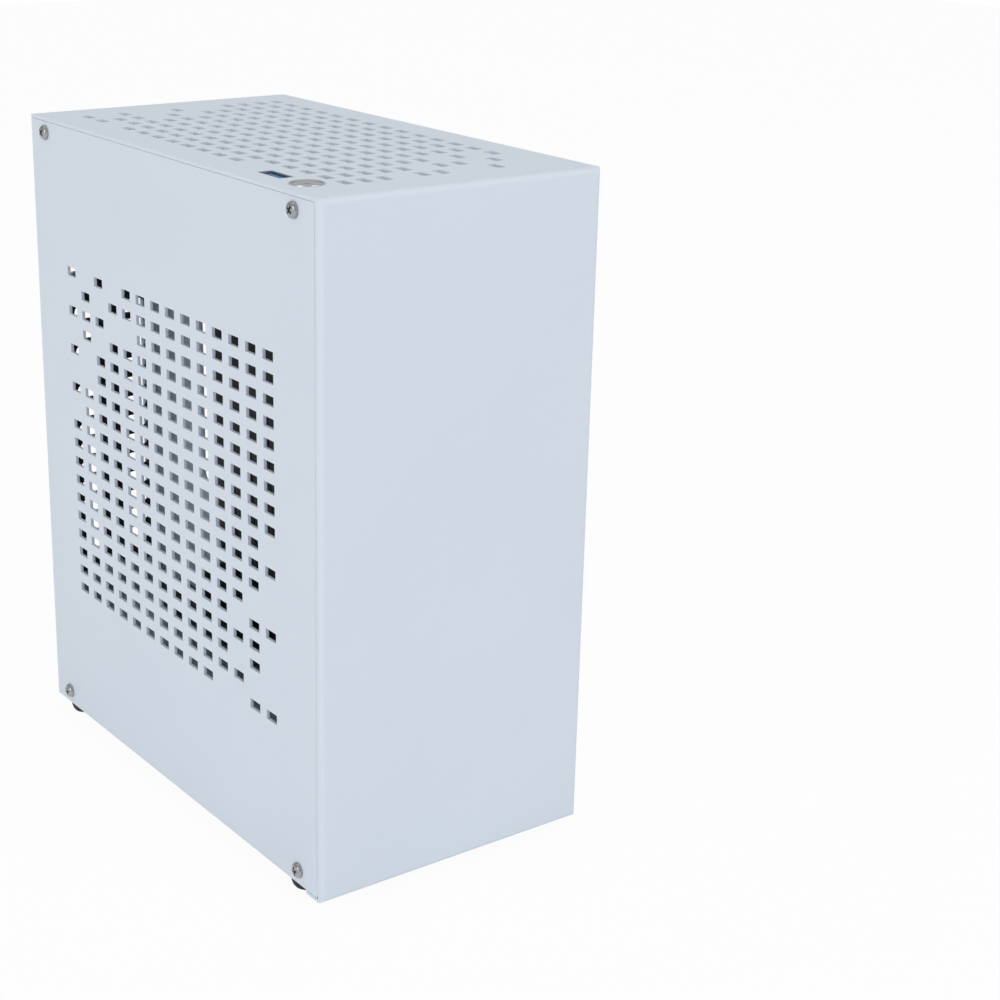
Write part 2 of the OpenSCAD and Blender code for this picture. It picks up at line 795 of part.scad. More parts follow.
module left_panel_screws() {
  color(steel) side_screws();
}

module right_panel_screws() {
  color(steel) mirror([1, 0, 0]) side_screws();
}

module lip_screws() {
  color(steel) lip_screw_places() case_screw();
}

module frame_rivets() {
  color(steel) {
    at_rivets() rivet();
    at_flush_rivets() flush_rivet(0);
  }
}

module board_standoffs() {
  color([0.78, 0.62, 0.28]) for (hole = board_holes) translate([x_divider_right, hole[0], hole[1]])
    rotate([0, 90, 0]) {
    difference() {
      cylinder(r = standoff_flats / sqrt(3), h = standoff_h, $fn = 6);
      translate([0, 0, frame_sheet]) cylinder(d = screw_d, h = standoff_h);
    }
    translate([0, 0, -frame_sheet]) cylinder(d = screw_d, h = frame_sheet);
    translate([0, 0, -frame_sheet - rivet_tail_h / 2]) cylinder(d = rivet_tail_d, h = rivet_tail_h / 2);
  }
}

// Cover of one card slot: a perforated strip with a bent tab
module slot_cover(x) {
  z_low = z_shelf - slot_cover_l;
  holes_z = [z_low + cover_hole_margin, z_shelf - cover_hole_margin];
  step = (holes_z[1] - holes_z[0]) / (cover_hole_n - 1);
  color(black_plastic) {
    along_rear(y_slot_in - slot_cover_t, slot_cover_t) difference() {
      area(mid(x, slot_cover_w), [z_low, z_shelf + slot_cover_t]);
      for (n = [0:cover_hole_n - 1])
        round_area(mid(x, cover_hole[0]), mid(holes_z[0] + n * step, cover_hole[1]), cover_hole_r);
    }
    difference() {
      span(mid(x, slot_cover_w), [y_slot_in - slot_cover_t, y_slot_out + tab_l],
        run(z_shelf, slot_cover_t));
      translate([x, y_slot_out + tab_screw, z_shelf])
        cylinder(d = screw_d + shank_fit, h = 4 * slot_cover_t, center = true);
    }
  }
}

module slot_cover_screws() {
  color(steel) for (x = slot_x)
    translate([x, y_slot_out + tab_screw, z_shelf + slot_cover_t])
      screw(cover_screw_head_d, screw_head_h, screw_d, screw_l);
}

// Rubber feet with a flat sole and a well for the screw
module foot(index) {
  dome_z = sqrt(foot_dome_r * foot_dome_r - foot_sole_d * foot_sole_d / 4);
  color(black_plastic) foot_places(index) difference() {
    intersection() {
      cylinder(d = foot_d, h = z_floor);
      translate([0, 0, dome_z]) sphere(r = foot_dome_r);
    }
    translate([0, 0, -over]) cylinder(d = foot_well_d, h = z_floor / 2 + over);
    translate([0, 0, -over]) cylinder(d = foot_neck_d, h = z_floor + 2 * over);
  }
}

// The rear ones pass through the floor and the rear panel's lower flange
module foot_screws() {
  color(steel) for (index = [0:3]) foot_places(index) {
    shank_l = z_floor / 2 + frame_sheet * (index < 2 ? 1 : 2);
    translate([0, 0, (z_floor - screw_head_h) / 2])
      cylinder(d = foot_well_d - shank_fit, h = screw_head_h / 2);
    translate([0, 0, z_floor / 2]) cylinder(d = foot_neck_d - shank_fit, h = shank_l);
    translate([0, 0, z_floor / 2 + shank_l]) cylinder(d = rivet_tail_d, h = rivet_tail_h);
  }
}

// Power button

module button_place() {
  translate([x_button, y_button, 0]) children();
}

module button_ring() {
  color(steel) button_place() difference() {
    union() {
      translate([0, 0, z_top]) cylinder(d = button_ring_d, h = ring_h - ring_edge);
      translate([0, 0, z_top + ring_h - ring_edge])
        cylinder(d1 = button_ring_d, d2 = button_ring_d - 2 * ring_edge, h = ring_edge);
      translate([0, 0, z_switch]) cylinder(d = barrel_d, h = z_top - z_switch);
    }
    translate([0, 0, z_switch - over]) cylinder(d = button_d + fit_gap,
      h = z_top - z_switch + ring_h + 2 * over);
  }
}

module button_cap() {
  z_stem = z_stop + button_travel + fit_gap;
  color(steel) button_place() difference() {
    union() {
      translate([0, 0, z_cap_low]) cylinder(d = button_d, h = cap_h - cap_sink);
      translate([0, 0, z_cap_top - cap_sink])
        cylinder(d1 = button_d, d2 = button_d - 2 * cap_sink, h = cap_sink);
      translate([0, 0, z_stem]) cylinder(d = stem_d, h = z_cap_low - z_stem);
    }
    translate([0, 0, z_cap_top - cap_h / 2]) cylinder(d = lens_d + shank_fit, h = cap_h);
  }
}

module button_lens() {
  color([0.55, 0.6, 0.66]) button_place() translate([0, 0, z_cap_top - cap_h / 2])
    cylinder(d = lens_d, h = cap_h / 2 - shank_fit);
}

// Round coil spring between the cap and the switch, one unbroken tube of six sides
module button_spring() {
  rise = z_cap_low - z_stop - spring_wire - 2 * spring_gap;
  steps = spring_turns * spring_steps;
  function ring(n) = [
    for (k = [0:spring_sides - 1]) let (
      turn = 360 * spring_turns * n / steps,
      side = 360 * k / spring_sides,
      r = spring_d / 2 + spring_wire / 2 * cos(side)
    ) [r * cos(turn), r * sin(turn), rise * n / steps + spring_wire / 2 * sin(side)]
  ];
  color(steel) button_place() translate([0, 0, z_stop + spring_wire / 2 + spring_gap])
    tube_mesh([for (n = [0:steps]) ring(n)]);
}

module button_nut() {
  color(steel) button_place() translate([0, 0, z_roof - nut_h]) difference() {
    cylinder(d = nut_d, h = nut_h, $fn = 6);
    translate([0, 0, -over]) cylinder(d = barrel_d + shank_fit, h = nut_h + 2 * over);
  }
}

module switch_body() {
  color(black_plastic) button_place() {
    translate([0, 0, z_switch - switch_l]) cylinder(d = barrel_d, h = switch_l - fit_gap / 2);
    translate([0, 0, z_switch - fit_gap]) cylinder(d = switch_d, h = z_stop - z_switch + fit_gap);
  }
}

// Port

module usb_shell() {
  z = [z_usb_low, z_top - usb_edge];
  size = [usb_h - fit_gap, usb_w - fit_gap];
  color(steel) translate([x_usb, y_usb, 0]) difference() {
    span(mid(0, size[0]), mid(0, size[1]), z);
    span(mid(0, size[0] - 2 * usb_wall), mid(0, size[1] - 2 * usb_wall), [z[0] - over, z[1] + over]);
  }
}

module usb_tongue() {
  base = [usb_h - 2 * usb_wall - 2 * fit_gap, usb_w - 2 * usb_wall - 2 * fit_gap];
  z_base = z_usb_low + tongue_base;
  color([0.1, 0.32, 0.75]) translate([x_usb, y_usb, 0]) {
    span(mid(0, base[0]), mid(0, base[1]), [z_usb_low, z_base]);
    span(mid(tongue_shift, tongue[0]), mid(0, tongue[1]), run(z_base, tongue[2]));
  }
}

module usb_contacts() {
  face = tongue_shift - tongue[0] / 2;
  color([0.83, 0.68, 0.32]) translate([x_usb, y_usb, 0]) for (n = [-2:2])
    span(back(face, contact[0]), mid(n * tongue[1] / 5, contact[1]),
      run(z_usb_low + tongue_base, contact[2]));
}

module port_board() {
  centre = [x_usb + port_board_shift[0], y_usb + port_board_shift[1]];
  color([0.08, 0.2, 0.12]) translate([0, 0, z_port_low]) linear_extrude(port_board_t) difference() {
    area(mid(centre[0], port_board_size[0]), mid(centre[1], port_board_size[1]));
    port_screw_spots() circle(d = port_screw_d + shank_fit);
  }
}

module port_screw_spots() {
  y_end = y_usb + port_board_shift[1] + port_board_size[1] / 2;
  for (inset = port_screw_insets) translate([x_usb + port_board_shift[0], y_end - inset]) children();
}

// Bent strip that hangs the small board under the top
module port_bracket() {
  x = mid(x_usb + port_board_shift[0], bracket_w);
  y_end = y_usb + port_board_shift[1] + port_board_size[1] / 2;
  foot_z = run(z_usb_low, frame_sheet);
  color(steel) difference() {
    union() {
      span(x, [y_end - bracket_foot_l, y_end + fit_gap + frame_sheet], foot_z);
      span(x, run(y_end + fit_gap, frame_sheet), [foot_z[0], z_roof]);
      span(x, [y_end + fit_gap, y_end + bracket_leg + frame_sheet], back(z_roof, frame_sheet));
    }
    translate([0, 0, foot_z[0] - over]) linear_extrude(2 * over + frame_sheet) port_screw_spots()
      circle(d = port_screw_d + shank_fit);
  }
}

module port_screws() {
  color(steel) translate([0, 0, z_port_low]) port_screw_spots() mirror([0, 0, 1])
    screw(port_screw_head[0], port_screw_head[1], port_screw_d, port_board_t + 2 * frame_sheet);
}

// Cables

// Round corners of a route by cutting each corner twice
function cut_corners(p) = concat(
  [p[0]],
  [for (n = [0:len(p) - 2]) each [p[n] * 0.75 + p[n + 1] * 0.25, p[n] * 0.25 + p[n + 1] * 0.75]],
  [p[len(p) - 1]]
);

// Rings of a tube along a route, carried from point to point without twist
function unit(v) = v / norm(v);
function route_dir(p, n) = unit(p[min(n + 1, len(p) - 1)] - p[max(n - 1, 0)]);
function carry(side, dir) = unit(side - dir * (side * dir));
function tube_rings(p, r, sides, n, side) =
  n >= len(p) ? [] : let (
    dir = route_dir(p, n),
    u = carry(side, dir),
    v = cross(dir, u)
  ) concat(
    [[for (k = [0:sides - 1]) p[n] + r * (u * cos(360 * k / sides) + v * sin(360 * k / sides))]],
    tube_rings(p, r, sides, n + 1, u)
  );

// One closed skin over a list of rings
module tube_mesh(rings) {
  sides = len(rings[0]);
  last = len(rings) - 1;
  points = [for (ring = rings) each ring];
  skin = [
    for (n = [0:last - 1], k = [0:sides - 1]) let (
      a = n * sides + k, b = n * sides + (k + 1) % sides, c = b + sides, d = a + sides
    ) each [[a, b, c], [a, c, d]]
  ];
  caps = [
    for (k = [1:sides - 2]) each [[0, k + 1, k], [last * sides, last * sides + k, last * sides + k + 1]]
  ];
  polyhedron(points = points, faces = [for (face = concat(skin, caps)) [face[0], face[2], face[1]]]);
}

module cable(route, d) {
  path = cut_corners(cut_corners(route));
  tube_mesh(tube_rings(path, d / 2, cable_sides, 0, [1, 3, 0]));
}

module usb_cable() {
  color(black_plastic) cable(usb_route, usb_cable_d);
}

module switch_cable() {
  color(black_plastic) cable(switch_route, switch_cable_d);
}

module usb_plug() {
  x = x_divider_right + fit_gap;
  z_low = z_lead_end - usb_plug_size[2];
  mouth = [usb_plug_size[0] - 2 * usb_plug_wall, usb_plug_size[1] - 2 * usb_plug_wall];
  color(black_plastic) difference() {
    span(run(x, usb_plug_size[0]), mid(y_lead, usb_plug_size[1]), back(z_lead_end, usb_plug_size[2]));
    span(mid(x + usb_plug_size[0] / 2, mouth[0]), mid(y_lead, mouth[1]),
      [z_low - over, z_low + usb_plug_size[2] / 3]);
  }
}

module switch_plug() {
  x = x_divider_right + fit_gap;
  color(black_plastic) span(run(x, switch_plug_size[0]), mid(y_switch_lead, switch_plug_size[1]),
    back(z_switch_end, switch_plug_size[2]));
}

// Saddles that hold both cables against the divider
module cable_clips() {
  y_mid = (y_lead + y_switch_lead) / 2;
  color(black_plastic) for (drop = clip_drops) difference() {
    span(run(x_divider_right, clip_size[0]), mid(y_mid, clip_size[1]), mid(notch_z - drop, clip_size[2]));
    translate([x_lead, y_lead, notch_z - drop])
      cylinder(d = usb_cable_d + fit_gap, h = 2 * clip_size[2], center = true);
    translate([x_switch_lead, y_switch_lead, notch_z - drop])
      cylinder(d = switch_cable_d + fit_gap, h = 2 * clip_size[2], center = true);
  }
}

// Riser: card slot end

module riser_post_places() {
  for (side = [-1, 1]) translate([x_riser_hole, y_riser + side * riser_hole_spacing / 2, z_riser])
    children();
}

module riser_board() {
  ear_x = [x_riser_edge[0] + riser_ear_inset, x_riser_edge[0] + riser_ear_inset + riser_ear[0]];
  half = riser_main_l / 2 + riser_ear[1];
  slot_run = riser_hole[0] - riser_hole[1];
  color(black_plastic) translate([0, 0, z_riser]) linear_extrude(riser_board_t) difference() {
    union() {
      area(x_riser_edge, mid(y_riser, riser_main_l));
      round_area(ear_x, mid(y_riser, 2 * half), riser_ear_r);
    }
    for (side = [-1, 1]) translate([x_riser_hole, y_riser + side * riser_hole_spacing / 2]) {
      square([riser_hole[1], slot_run], center = true);
      for (end = [-1, 1]) translate([0, end * slot_run / 2]) circle(d = riser_hole[1]);
    }
  }
}

module riser_slot() {
  z = [z_riser_top, z_riser_top + riser_slot_h];
  half = riser_slot_l / 2;
  ear_y = y_riser - half - latch_pivot[0] - latch_pin_d;
  step = riser_slot_l / slot_rib_n;
  color(black_plastic) difference() {
    union() {
      span(mid(x_card, slot_w), mid(y_riser, 2 * half), z);
      for (side = [0, 1]) translate([x_card, 0, 0]) mirror([side, 0, 0])
        span([latch_w / 2 + fit_gap / 2, latch_w / 2 + fit_gap / 2 + latch_ear_t],
          [ear_y, y_riser - half + over], [z[0], z[0] + latch_pivot[1] + latch_pin_d]);
      for (n = [0:slot_rib_n - 1])
        span(back(x_card - slot_w / 2, slot_rib[0]),
          mid(y_riser - half + (n + 0.5) * step, slot_rib[1]), back(z[1], slot_rib[2]));
    }
    difference() {
      span(mid(x_card, slot_key), mid(y_riser, 2 * (half - slot_end)), [z[1] - slot_depth, z[1] + over]);
      span(mid(x_card, 2 * slot_key), mid(y_riser + half - key_at, key_l),
        [z[1] - slot_depth - over, z[1] + 2 * over]);
    }
    latch_axis() cylinder(d = latch_pin_d + shank_fit, h = 4 * slot_w, center = true);
  }
}

module latch_axis() {
  translate([x_card, y_riser - riser_slot_l / 2 - latch_pivot[0], z_riser_top + latch_pivot[1]])
    rotate([0, 90, 0]) children();
}

// Card latch: a lever with a hook over the card, a thumb tab and two pins in the slot's ears
module riser_latch() {
  y0 = y_riser - riser_slot_l / 2 - latch_pivot[0];
  z0 = z_riser_top + latch_pivot[1];
  back = y0 + latch_t / 2;
  color(black_plastic) {
    span(mid(x_card, latch_w), [y0 - latch_t / 2, back], [z0 - latch_t / 2, z0 + latch_h]);
    span(mid(x_card, latch_w), [back - over, back + latch_hook[0]], back(z0 + latch_h, latch_hook[1]));
    span(mid(x_card, latch_w), [y0 - latch_t / 2 - latch_thumb[0], y0], back(z0 + latch_h, latch_thumb[1]));
    latch_axis() cylinder(d = latch_pin_d, h = latch_w + fit_gap + 2 * latch_ear_t - shank_fit,
      center = true);
  }
}

// Soldered ends of the slot contacts under the board
module riser_pins() {
  step = (riser_slot_l - 2 * pin_margin) / (pin_n + 1);
  y_first = y_riser - riser_slot_l / 2 + pin_margin;
  color(steel) for (n = [0:pin_n - 1], row = [-1, 1]) {
    place = n + (n < pin_gap_after ? 0 : 2);
    span(mid(x_card + row * pin_row, pin[0]), mid(y_first + place * step, pin[1]), back(z_riser, pin[2]));
  }
}

module riser_clamp() {
  x_dimple = x_riser_edge[0] + clamp_size[0] / 2;
  color(black_plastic) difference() {
    span(run(x_riser_edge[0], clamp_size[0]), mid(y_riser, clamp_size[1]), back(z_riser, clamp_size[2]));
    for (side = [-1, 1])
      translate([x_dimple, y_riser + side * (clamp_size[1] / 2 - dimple[0]), z_riser - clamp_size[2]])
        cylinder(d = dimple[1], h = clamp_size[2], center = true);
  }
}

module riser_posts() {
  color(steel) riser_post_places() mirror([0, 0, 1]) {
    difference() {
      cylinder(r = post_d / sqrt(3), h = riser_lift, $fn = 6);
      translate([0, 0, -over]) cylinder(d = screw_d + shank_fit, h = screw_l + 2 * over);
    }
    cylinder_from(riser_lift, screw_d, frame_sheet);
    cylinder_from(riser_lift + frame_sheet, rivet_tail_d, rivet_tail_h / 2);
  }
}

module cylinder_from(z, d, h) {
  translate([0, 0, z]) cylinder(d = d, h = h);
}

module riser_screws() {
  color(steel) riser_post_places() translate([0, 0, riser_board_t])
    screw(screw_head_d, screw_head_h, screw_d, screw_l);
}

// Ribbon: six flat strips from the card slot, up the divider, over its notch and down to the plug

// Quarter ring of the ribbon in the plane of its side view
module ribbon_turn(centre, r, quarter) {
  translate(centre) intersection() {
    difference() {
      circle(r + ribbon_t / 2);
      circle(r - ribbon_t / 2);
    }
    rotate(90 * quarter) square(r + ribbon_t);
  }
}

// Draws a side view, with X across and Z up, as a strip of the ribbon's width
module ribbon_strip(y) {
  translate([0, y + ribbon_w / 2, 0]) rotate([90, 0, 0]) linear_extrude(ribbon_w) children();
}

module ribbon(index) {
  offset_y = (index - (ribbon_n + 1) / 2) * ribbon_pitch;
  low = [y_riser + offset_y, z_ribbon_low + ribbon_bend];
  high = [y_plug + offset_y, z_ribbon_top - ribbon_top_bend];
  edge = ribbon_w / 2;
  color(black_plastic) {
    ribbon_strip(low[0]) {
      area([x_ribbon_start, x_ribbon - ribbon_bend], mid(z_ribbon_low, ribbon_t));
      ribbon_turn([x_ribbon - ribbon_bend, low[1]], ribbon_bend, 3);
    }
    along_side(x_ribbon - ribbon_t / 2, ribbon_t) polygon([
      [low[0] - edge, low[1]], [low[0] + edge, low[1]], [high[0] + edge, high[1]], [high[0] - edge, high[1]]
    ]);
    ribbon_strip(high[0]) {
      ribbon_turn([x_ribbon + ribbon_top_bend, high[1]], ribbon_top_bend, 1);
      area([x_ribbon + ribbon_top_bend, x_ribbon_plug - ribbon_top_bend], mid(z_ribbon_top, ribbon_t));
      ribbon_turn([x_ribbon_plug - ribbon_top_bend, high[1]], ribbon_top_bend, 0);
      area(mid(x_ribbon_plug, ribbon_t), [z_plug, high[1]]);
    }
  }
}

// Riser: plug end, which stands in the board's own slot

module plug_board() {
  half = plug_main[0] / 2;
  z = mid(z_plug, plug_main[1]);
  ear_z = run(z[0] + plug_ear_lift, plug_ear[1]);
  ear_mid = (ear_z[0] + ear_z[1]) / 2;
  color(black_plastic) along_side(x_plug, plug_board_t) difference() {
    union() {
      area(mid(y_plug, 2 * half), z);
      area([y_plug - half - plug_ear[0], y_plug - half + over], ear_z);
      area([y_plug + half - over, y_plug + half + plug_tab], ear_z);
    }
    area([y_plug - half - plug_ear[0] - over, y_plug - half - plug_ear[0] + plug_fork],
      mid(ear_mid, plug_fork));
    for (side = [-1, 1]) {
      area(mid(y_plug + side * (half - plug_notch[0]), plug_notch[0]), [z[1] - plug_notch[1], z[1] + over]);
      translate([y_plug + half + plug_tab / 2, ear_mid + side * ear_hole[0] / 2]) circle(d = ear_hole[1]);
      translate([y_plug + side * (half - plug_screw_in), z_plug - plug_drop])
        circle(d = port_screw_d + shank_fit);
    }
  }
}

module plug_fingers() {
  color([0.06, 0.22, 0.13]) difference() {
    span([x_plug - plug_finger[0], x_plug], mid(y_plug, plug_finger[1]), mid(z_plug - plug_drop, board_t));
    span([x_plug - plug_finger[0] - over, x_plug - plug_finger[0] / 3],
      mid(y_plug + plug_finger[1] / 2 + slot_end - key_at, key_l), mid(z_plug - plug_drop, 2 * board_t));
  }
}

module plug_clamp() {
  x = x_ribbon_plug + ribbon_t / 2;
  z = mid(z_plug - plug_drop, plug_clamp_size[2]);
  color(black_plastic) difference() {
    span([x_plug + plug_board_t, x + plug_clamp_size[0]], mid(y_plug, plug_clamp_size[1]), z);
    span([x_plug, x_ribbon_plug + ribbon_t / 2 + shank_fit],
      mid(y_plug, 2 * (ribbon_n / 2 * ribbon_pitch + fit_gap)), [z_plug - fit_gap, z[1] + over]);
    plug_screw_places() cylinder(d = port_screw_d + shank_fit, h = 4 * screw_l, center = true);
  }
}

module plug_screw_places() {
  x = x_ribbon_plug + ribbon_t / 2 + plug_clamp_size[0];
  y_half = plug_main[0] / 2 - plug_screw_in;
  for (side = [-1, 1])
    translate([x, y_plug + side * y_half, z_plug - plug_drop]) rotate([0, 90, 0]) children();
}

module plug_screws() {
  color(black_plastic) plug_screw_places()
    screw(port_screw_head[0], port_screw_head[1], port_screw_d, screw_l);
}

front_top_cover();
floor_tray();
upper_frame();
rear_panel();
divider();
psu_bridge();
slot_bracket();
left_panel();
right_panel();
left_panel_screws();
right_panel_screws();
lip_screws();
frame_rivets();
board_standoffs();
slot_cover(slot_x[0]);  // slot_cover_inner
slot_cover(slot_x[1]);  // slot_cover_outer
slot_cover_screws();
foot(0);  // foot_front_left
foot(1);  // foot_front_right
foot(2);  // foot_rear_left
foot(3);  // foot_rear_right
foot_screws();
button_ring();
button_cap();
button_lens();
button_spring();
button_nut();
switch_body();
switch_cable();
switch_plug();
usb_shell();
usb_tongue();
usb_contacts();
port_board();
port_bracket();
port_screws();
usb_cable();
usb_plug();
cable_clips();
riser_board();
riser_slot();
riser_pins();
riser_latch();
riser_clamp();
riser_posts();
riser_screws();
ribbon(1);  // ribbon_1
ribbon(2);  // ribbon_2
ribbon(3);  // ribbon_3
ribbon(4);  // ribbon_4
ribbon(5);  // ribbon_5
ribbon(6);  // ribbon_6
plug_board();
plug_fingers();
plug_clamp();
plug_screws();
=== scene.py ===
import math

import bmesh
import bpy
from mathutils import Matrix, Vector


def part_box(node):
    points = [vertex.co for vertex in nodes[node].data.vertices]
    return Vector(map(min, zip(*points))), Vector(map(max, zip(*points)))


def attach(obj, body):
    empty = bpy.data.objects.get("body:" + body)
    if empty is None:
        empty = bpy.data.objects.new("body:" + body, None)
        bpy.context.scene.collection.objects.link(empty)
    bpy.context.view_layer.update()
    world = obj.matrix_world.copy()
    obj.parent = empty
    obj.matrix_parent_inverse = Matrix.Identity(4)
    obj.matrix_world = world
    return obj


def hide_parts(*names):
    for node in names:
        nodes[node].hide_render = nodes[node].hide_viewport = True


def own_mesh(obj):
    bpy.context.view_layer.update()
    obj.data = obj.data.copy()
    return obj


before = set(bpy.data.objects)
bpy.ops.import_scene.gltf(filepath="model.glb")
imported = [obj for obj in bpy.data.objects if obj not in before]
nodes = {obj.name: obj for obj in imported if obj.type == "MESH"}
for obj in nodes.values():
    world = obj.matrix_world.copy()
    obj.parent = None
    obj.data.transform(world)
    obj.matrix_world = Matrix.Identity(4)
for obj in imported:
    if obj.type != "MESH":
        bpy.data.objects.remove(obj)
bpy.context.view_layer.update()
MM = 0.001


# Camera and studio.
# The camera stands at the photograph's place, off the case's front left corner and a little above it.
# The case stands on a pale sweep under one large soft lamp, two fill panels and an even white room.
eye = Vector((-0.3804, -0.6109, 0.3648))
aim = Vector((0, -0.0965, 0.1548))
camera_roll = math.radians(1.05)
camera_data = bpy.data.cameras.new("camera")
camera_data.lens = 71.13
camera_data.sensor_width = 36
camera_data.shift_x = 0.05
camera_data.shift_y = -0.04
camera = bpy.data.objects.new("camera", camera_data)
bpy.context.scene.collection.objects.link(camera)
camera.location = eye
at_aim = (aim - eye).to_track_quat("-Z", "Y").to_matrix().to_4x4()
camera.matrix_world = Matrix.Translation(eye) @ at_aim @ Matrix.Rotation(camera_roll, 4, "Z")
bpy.context.scene.camera = camera
bpy.context.scene.view_settings.view_transform = "Standard"


class Signal:
    """One output of a shader node. Sums on it add Math nodes to the same material."""

    def __init__(self, tree, socket):
        self.tree = tree
        self.socket = socket

    def node(self, kind, settings=None, sockets=None, output=0):
        """Adds any node: its settings first, then its sockets' values or links."""
        made = self.tree.nodes.new(kind)
        for name, value in (settings or {}).items():
            setattr(made, name, value)
        for name, value in (sockets or {}).items():
            if isinstance(value, Signal):
                self.tree.links.new(value.socket, made.inputs[name])
            else:
                made.inputs[name].default_value = value
        return Signal(self.tree, made.outputs[output])

    def math(self, operation, first, second=0.0):
        return self.node("ShaderNodeMath", {"operation": operation}, {0: first, 1: second})

    def __add__(self, other):
        return self.math("ADD", self, other)

    def __radd__(self, other):
        return self.math("ADD", other, self)

    def __sub__(self, other):
        return self.math("SUBTRACT", self, other)

    def __mul__(self, other):
        return self.math("MULTIPLY", self, other)

    def __lt__(self, other):
        return self.math("LESS_THAN", self, other)

    def blend(self, dark, light):
        """A colour between two, by this signal."""
        sockets = {0: self, 6: (*dark, 1), 7: (*light, 1)}
        return self.node("ShaderNodeMix", {"data_type": "RGBA"}, sockets, output=2)


def new_finish(name, color, roughness, metallic=0.0, **constants):
    """A Principled material with its constants set, and a signal with its object coordinates."""
    made = bpy.data.materials.new(name)
    made.use_nodes = True
    tree = made.node_tree
    shader = tree.nodes["Principled BSDF"]
    shader.inputs["Base Color"].default_value = (*color, 1)
    shader.inputs["Roughness"].default_value = roughness
    shader.inputs["Metallic"].default_value = metallic
    for socket, value in constants.items():
        shader.inputs[socket.replace("_", " ")].default_value = value
    place = tree.nodes.new("ShaderNodeTexCoord").outputs["Object"]
    return made, shader, Signal(tree, place)


def drive(shader, **signals):
    """Links what varies over a surface into the shader."""
    for socket, signal in signals.items():
        signal.tree.links.new(signal.socket, shader.inputs[socket.replace("_", " ")])


def studio_surface(name, color, glow):
    """A stage surface that looks lit to the camera but adds no light of its own."""
    made, shader, place = new_finish(name, color, 0.9)
    tree = made.node_tree
    path = tree.nodes.new("ShaderNodeLightPath")
    seen = Signal(tree, path.outputs["Is Camera Ray"])
    for ray in ("Is Glossy Ray", "Is Transmission Ray"):
        seen = seen.math("MAXIMUM", seen, Signal(tree, path.outputs[ray]))
    white = tree.nodes.new("ShaderNodeEmission")
    white.inputs["Color"].default_value = (1, 1, 1, 1)
    mixed = tree.nodes.new("ShaderNodeMixShader")
    tree.links.new((seen * glow).socket, mixed.inputs[0])
    tree.links.new(shader.outputs[0], mixed.inputs[1])
    tree.links.new(white.outputs[0], mixed.inputs[2])
    tree.links.new(mixed.outputs[0], tree.nodes["Material Output"].inputs["Surface"])
    return made


bpy.ops.object.select_all(action="DESELECT")
bpy.ops.mesh.primitive_plane_add(size=6, location=(0, 0, 0))
floor = bpy.context.object
floor.name = "studio_floor"
floor.data.materials.append(studio_surface("studio_white", (0.9, 0.9, 0.9), 0.95))

room = bpy.data.worlds.new("studio_room")
bpy.context.scene.world = room
room.use_nodes = True
backdrop = room.node_tree.nodes["Background"]
path = room.node_tree.nodes.new("ShaderNodeLightPath")
seen = Signal(room.node_tree, path.outputs["Is Camera Ray"])
room_light = 0.54
level = seen * (1 - room_light) + room_light
room.node_tree.links.new(level.socket, backdrop.inputs["Strength"])
backdrop.inputs["Color"].default_value = (1, 1, 1, 1)


def soft_lamp(name, place, target, size, power):
    """A square soft box that points at the case."""
    light = bpy.data.lights.new(name, "AREA")
    light.shape = "SQUARE"
    light.size = size
    light.energy = power
    lamp = bpy.data.objects.new(name, light)
    bpy.context.scene.collection.objects.link(lamp)
    lamp.location = place
    lamp.rotation_euler = (Vector(target) - Vector(place)).to_track_quat("-Z", "Y").to_euler()


middle = (0, 0, 0.12)
soft_lamp("key_box", (0.5, -1.6, 1.3), middle, 1.0, 7.5)
soft_lamp("side_box", (-1.7, -0.5, 0.8), middle, 1.0, 7.2)
soft_lamp("top_box", (0, 0.3, 1.9), middle, 1.2, 2.8)


# Sheet metal: cover, frame, bracket, divider and side panels.
# Cold rolled steel, punched and bent, then powder coated cool white all over, hole walls too.
# The coat is fine orange peel.
coat_color = (0.79, 0.87, 0.965)
coat_shade = (0.755, 0.835, 0.93)
coat_peel = 0.9 * MM
coat_cloud = 60 * MM


def noise(place, size, detail=2.0, stretch=(1, 1, 1)):
    """Noise whose blotches are about as large as the size given in metres."""
    spread = place.node("ShaderNodeMapping", {}, {0: place, 3: stretch})
    return place.node("ShaderNodeTexNoise", {}, {"Vector": spread, "Scale": 1 / size, "Detail": detail})


def bump(height, depth, strength):
    return height.node("ShaderNodeBump", {}, {"Height": height, "Distance": depth, "Strength": strength})


def dress(material, *names):
    """Puts a material on CAD nodes."""
    for name in names:
        slots = nodes[name].data.materials
        slots.clear()
        slots.append(material)


def powder_coat(name):
    made, shader, place = new_finish(name, coat_color, 0.48, IOR=1.5)
    cloud = noise(place, coat_cloud)
    peel = noise(place, coat_peel, 1.0)
    drive(
        shader,
        Base_Color=cloud.blend(coat_shade, coat_color),
        Roughness=0.42 + peel * 0.14,
        Normal=bump(peel, 0.03 * MM, 0.35),
    )
    return made


white_coat = powder_coat("white_powder_coat")
dress(white_coat, "front_top_cover", "floor_tray", "upper_frame", "rear_panel", "divider", "psu_bridge")
dress(white_coat, "slot_bracket", "left_panel", "right_panel")


# Screws, rivets, posts and other small steel.
# Cold headed steel, bright zinc plated, so it is silver with a faint mottle and fine rubbing marks.
def plated_steel(name, color, roughness):
    made, shader, place = new_finish(name, color, roughness, 1.0)
    mottle = noise(place, 3 * MM, 3.0)
    rub = noise(place, 0.5 * MM, 2.0, (1, 1, 6))
    drive(
        shader,
        Base_Color=mottle.blend([shade * 0.86 for shade in color], color),
        Roughness=roughness - 0.08 + rub * 0.2,
        Normal=bump(rub, 0.01 * MM, 0.3),
    )
    return made


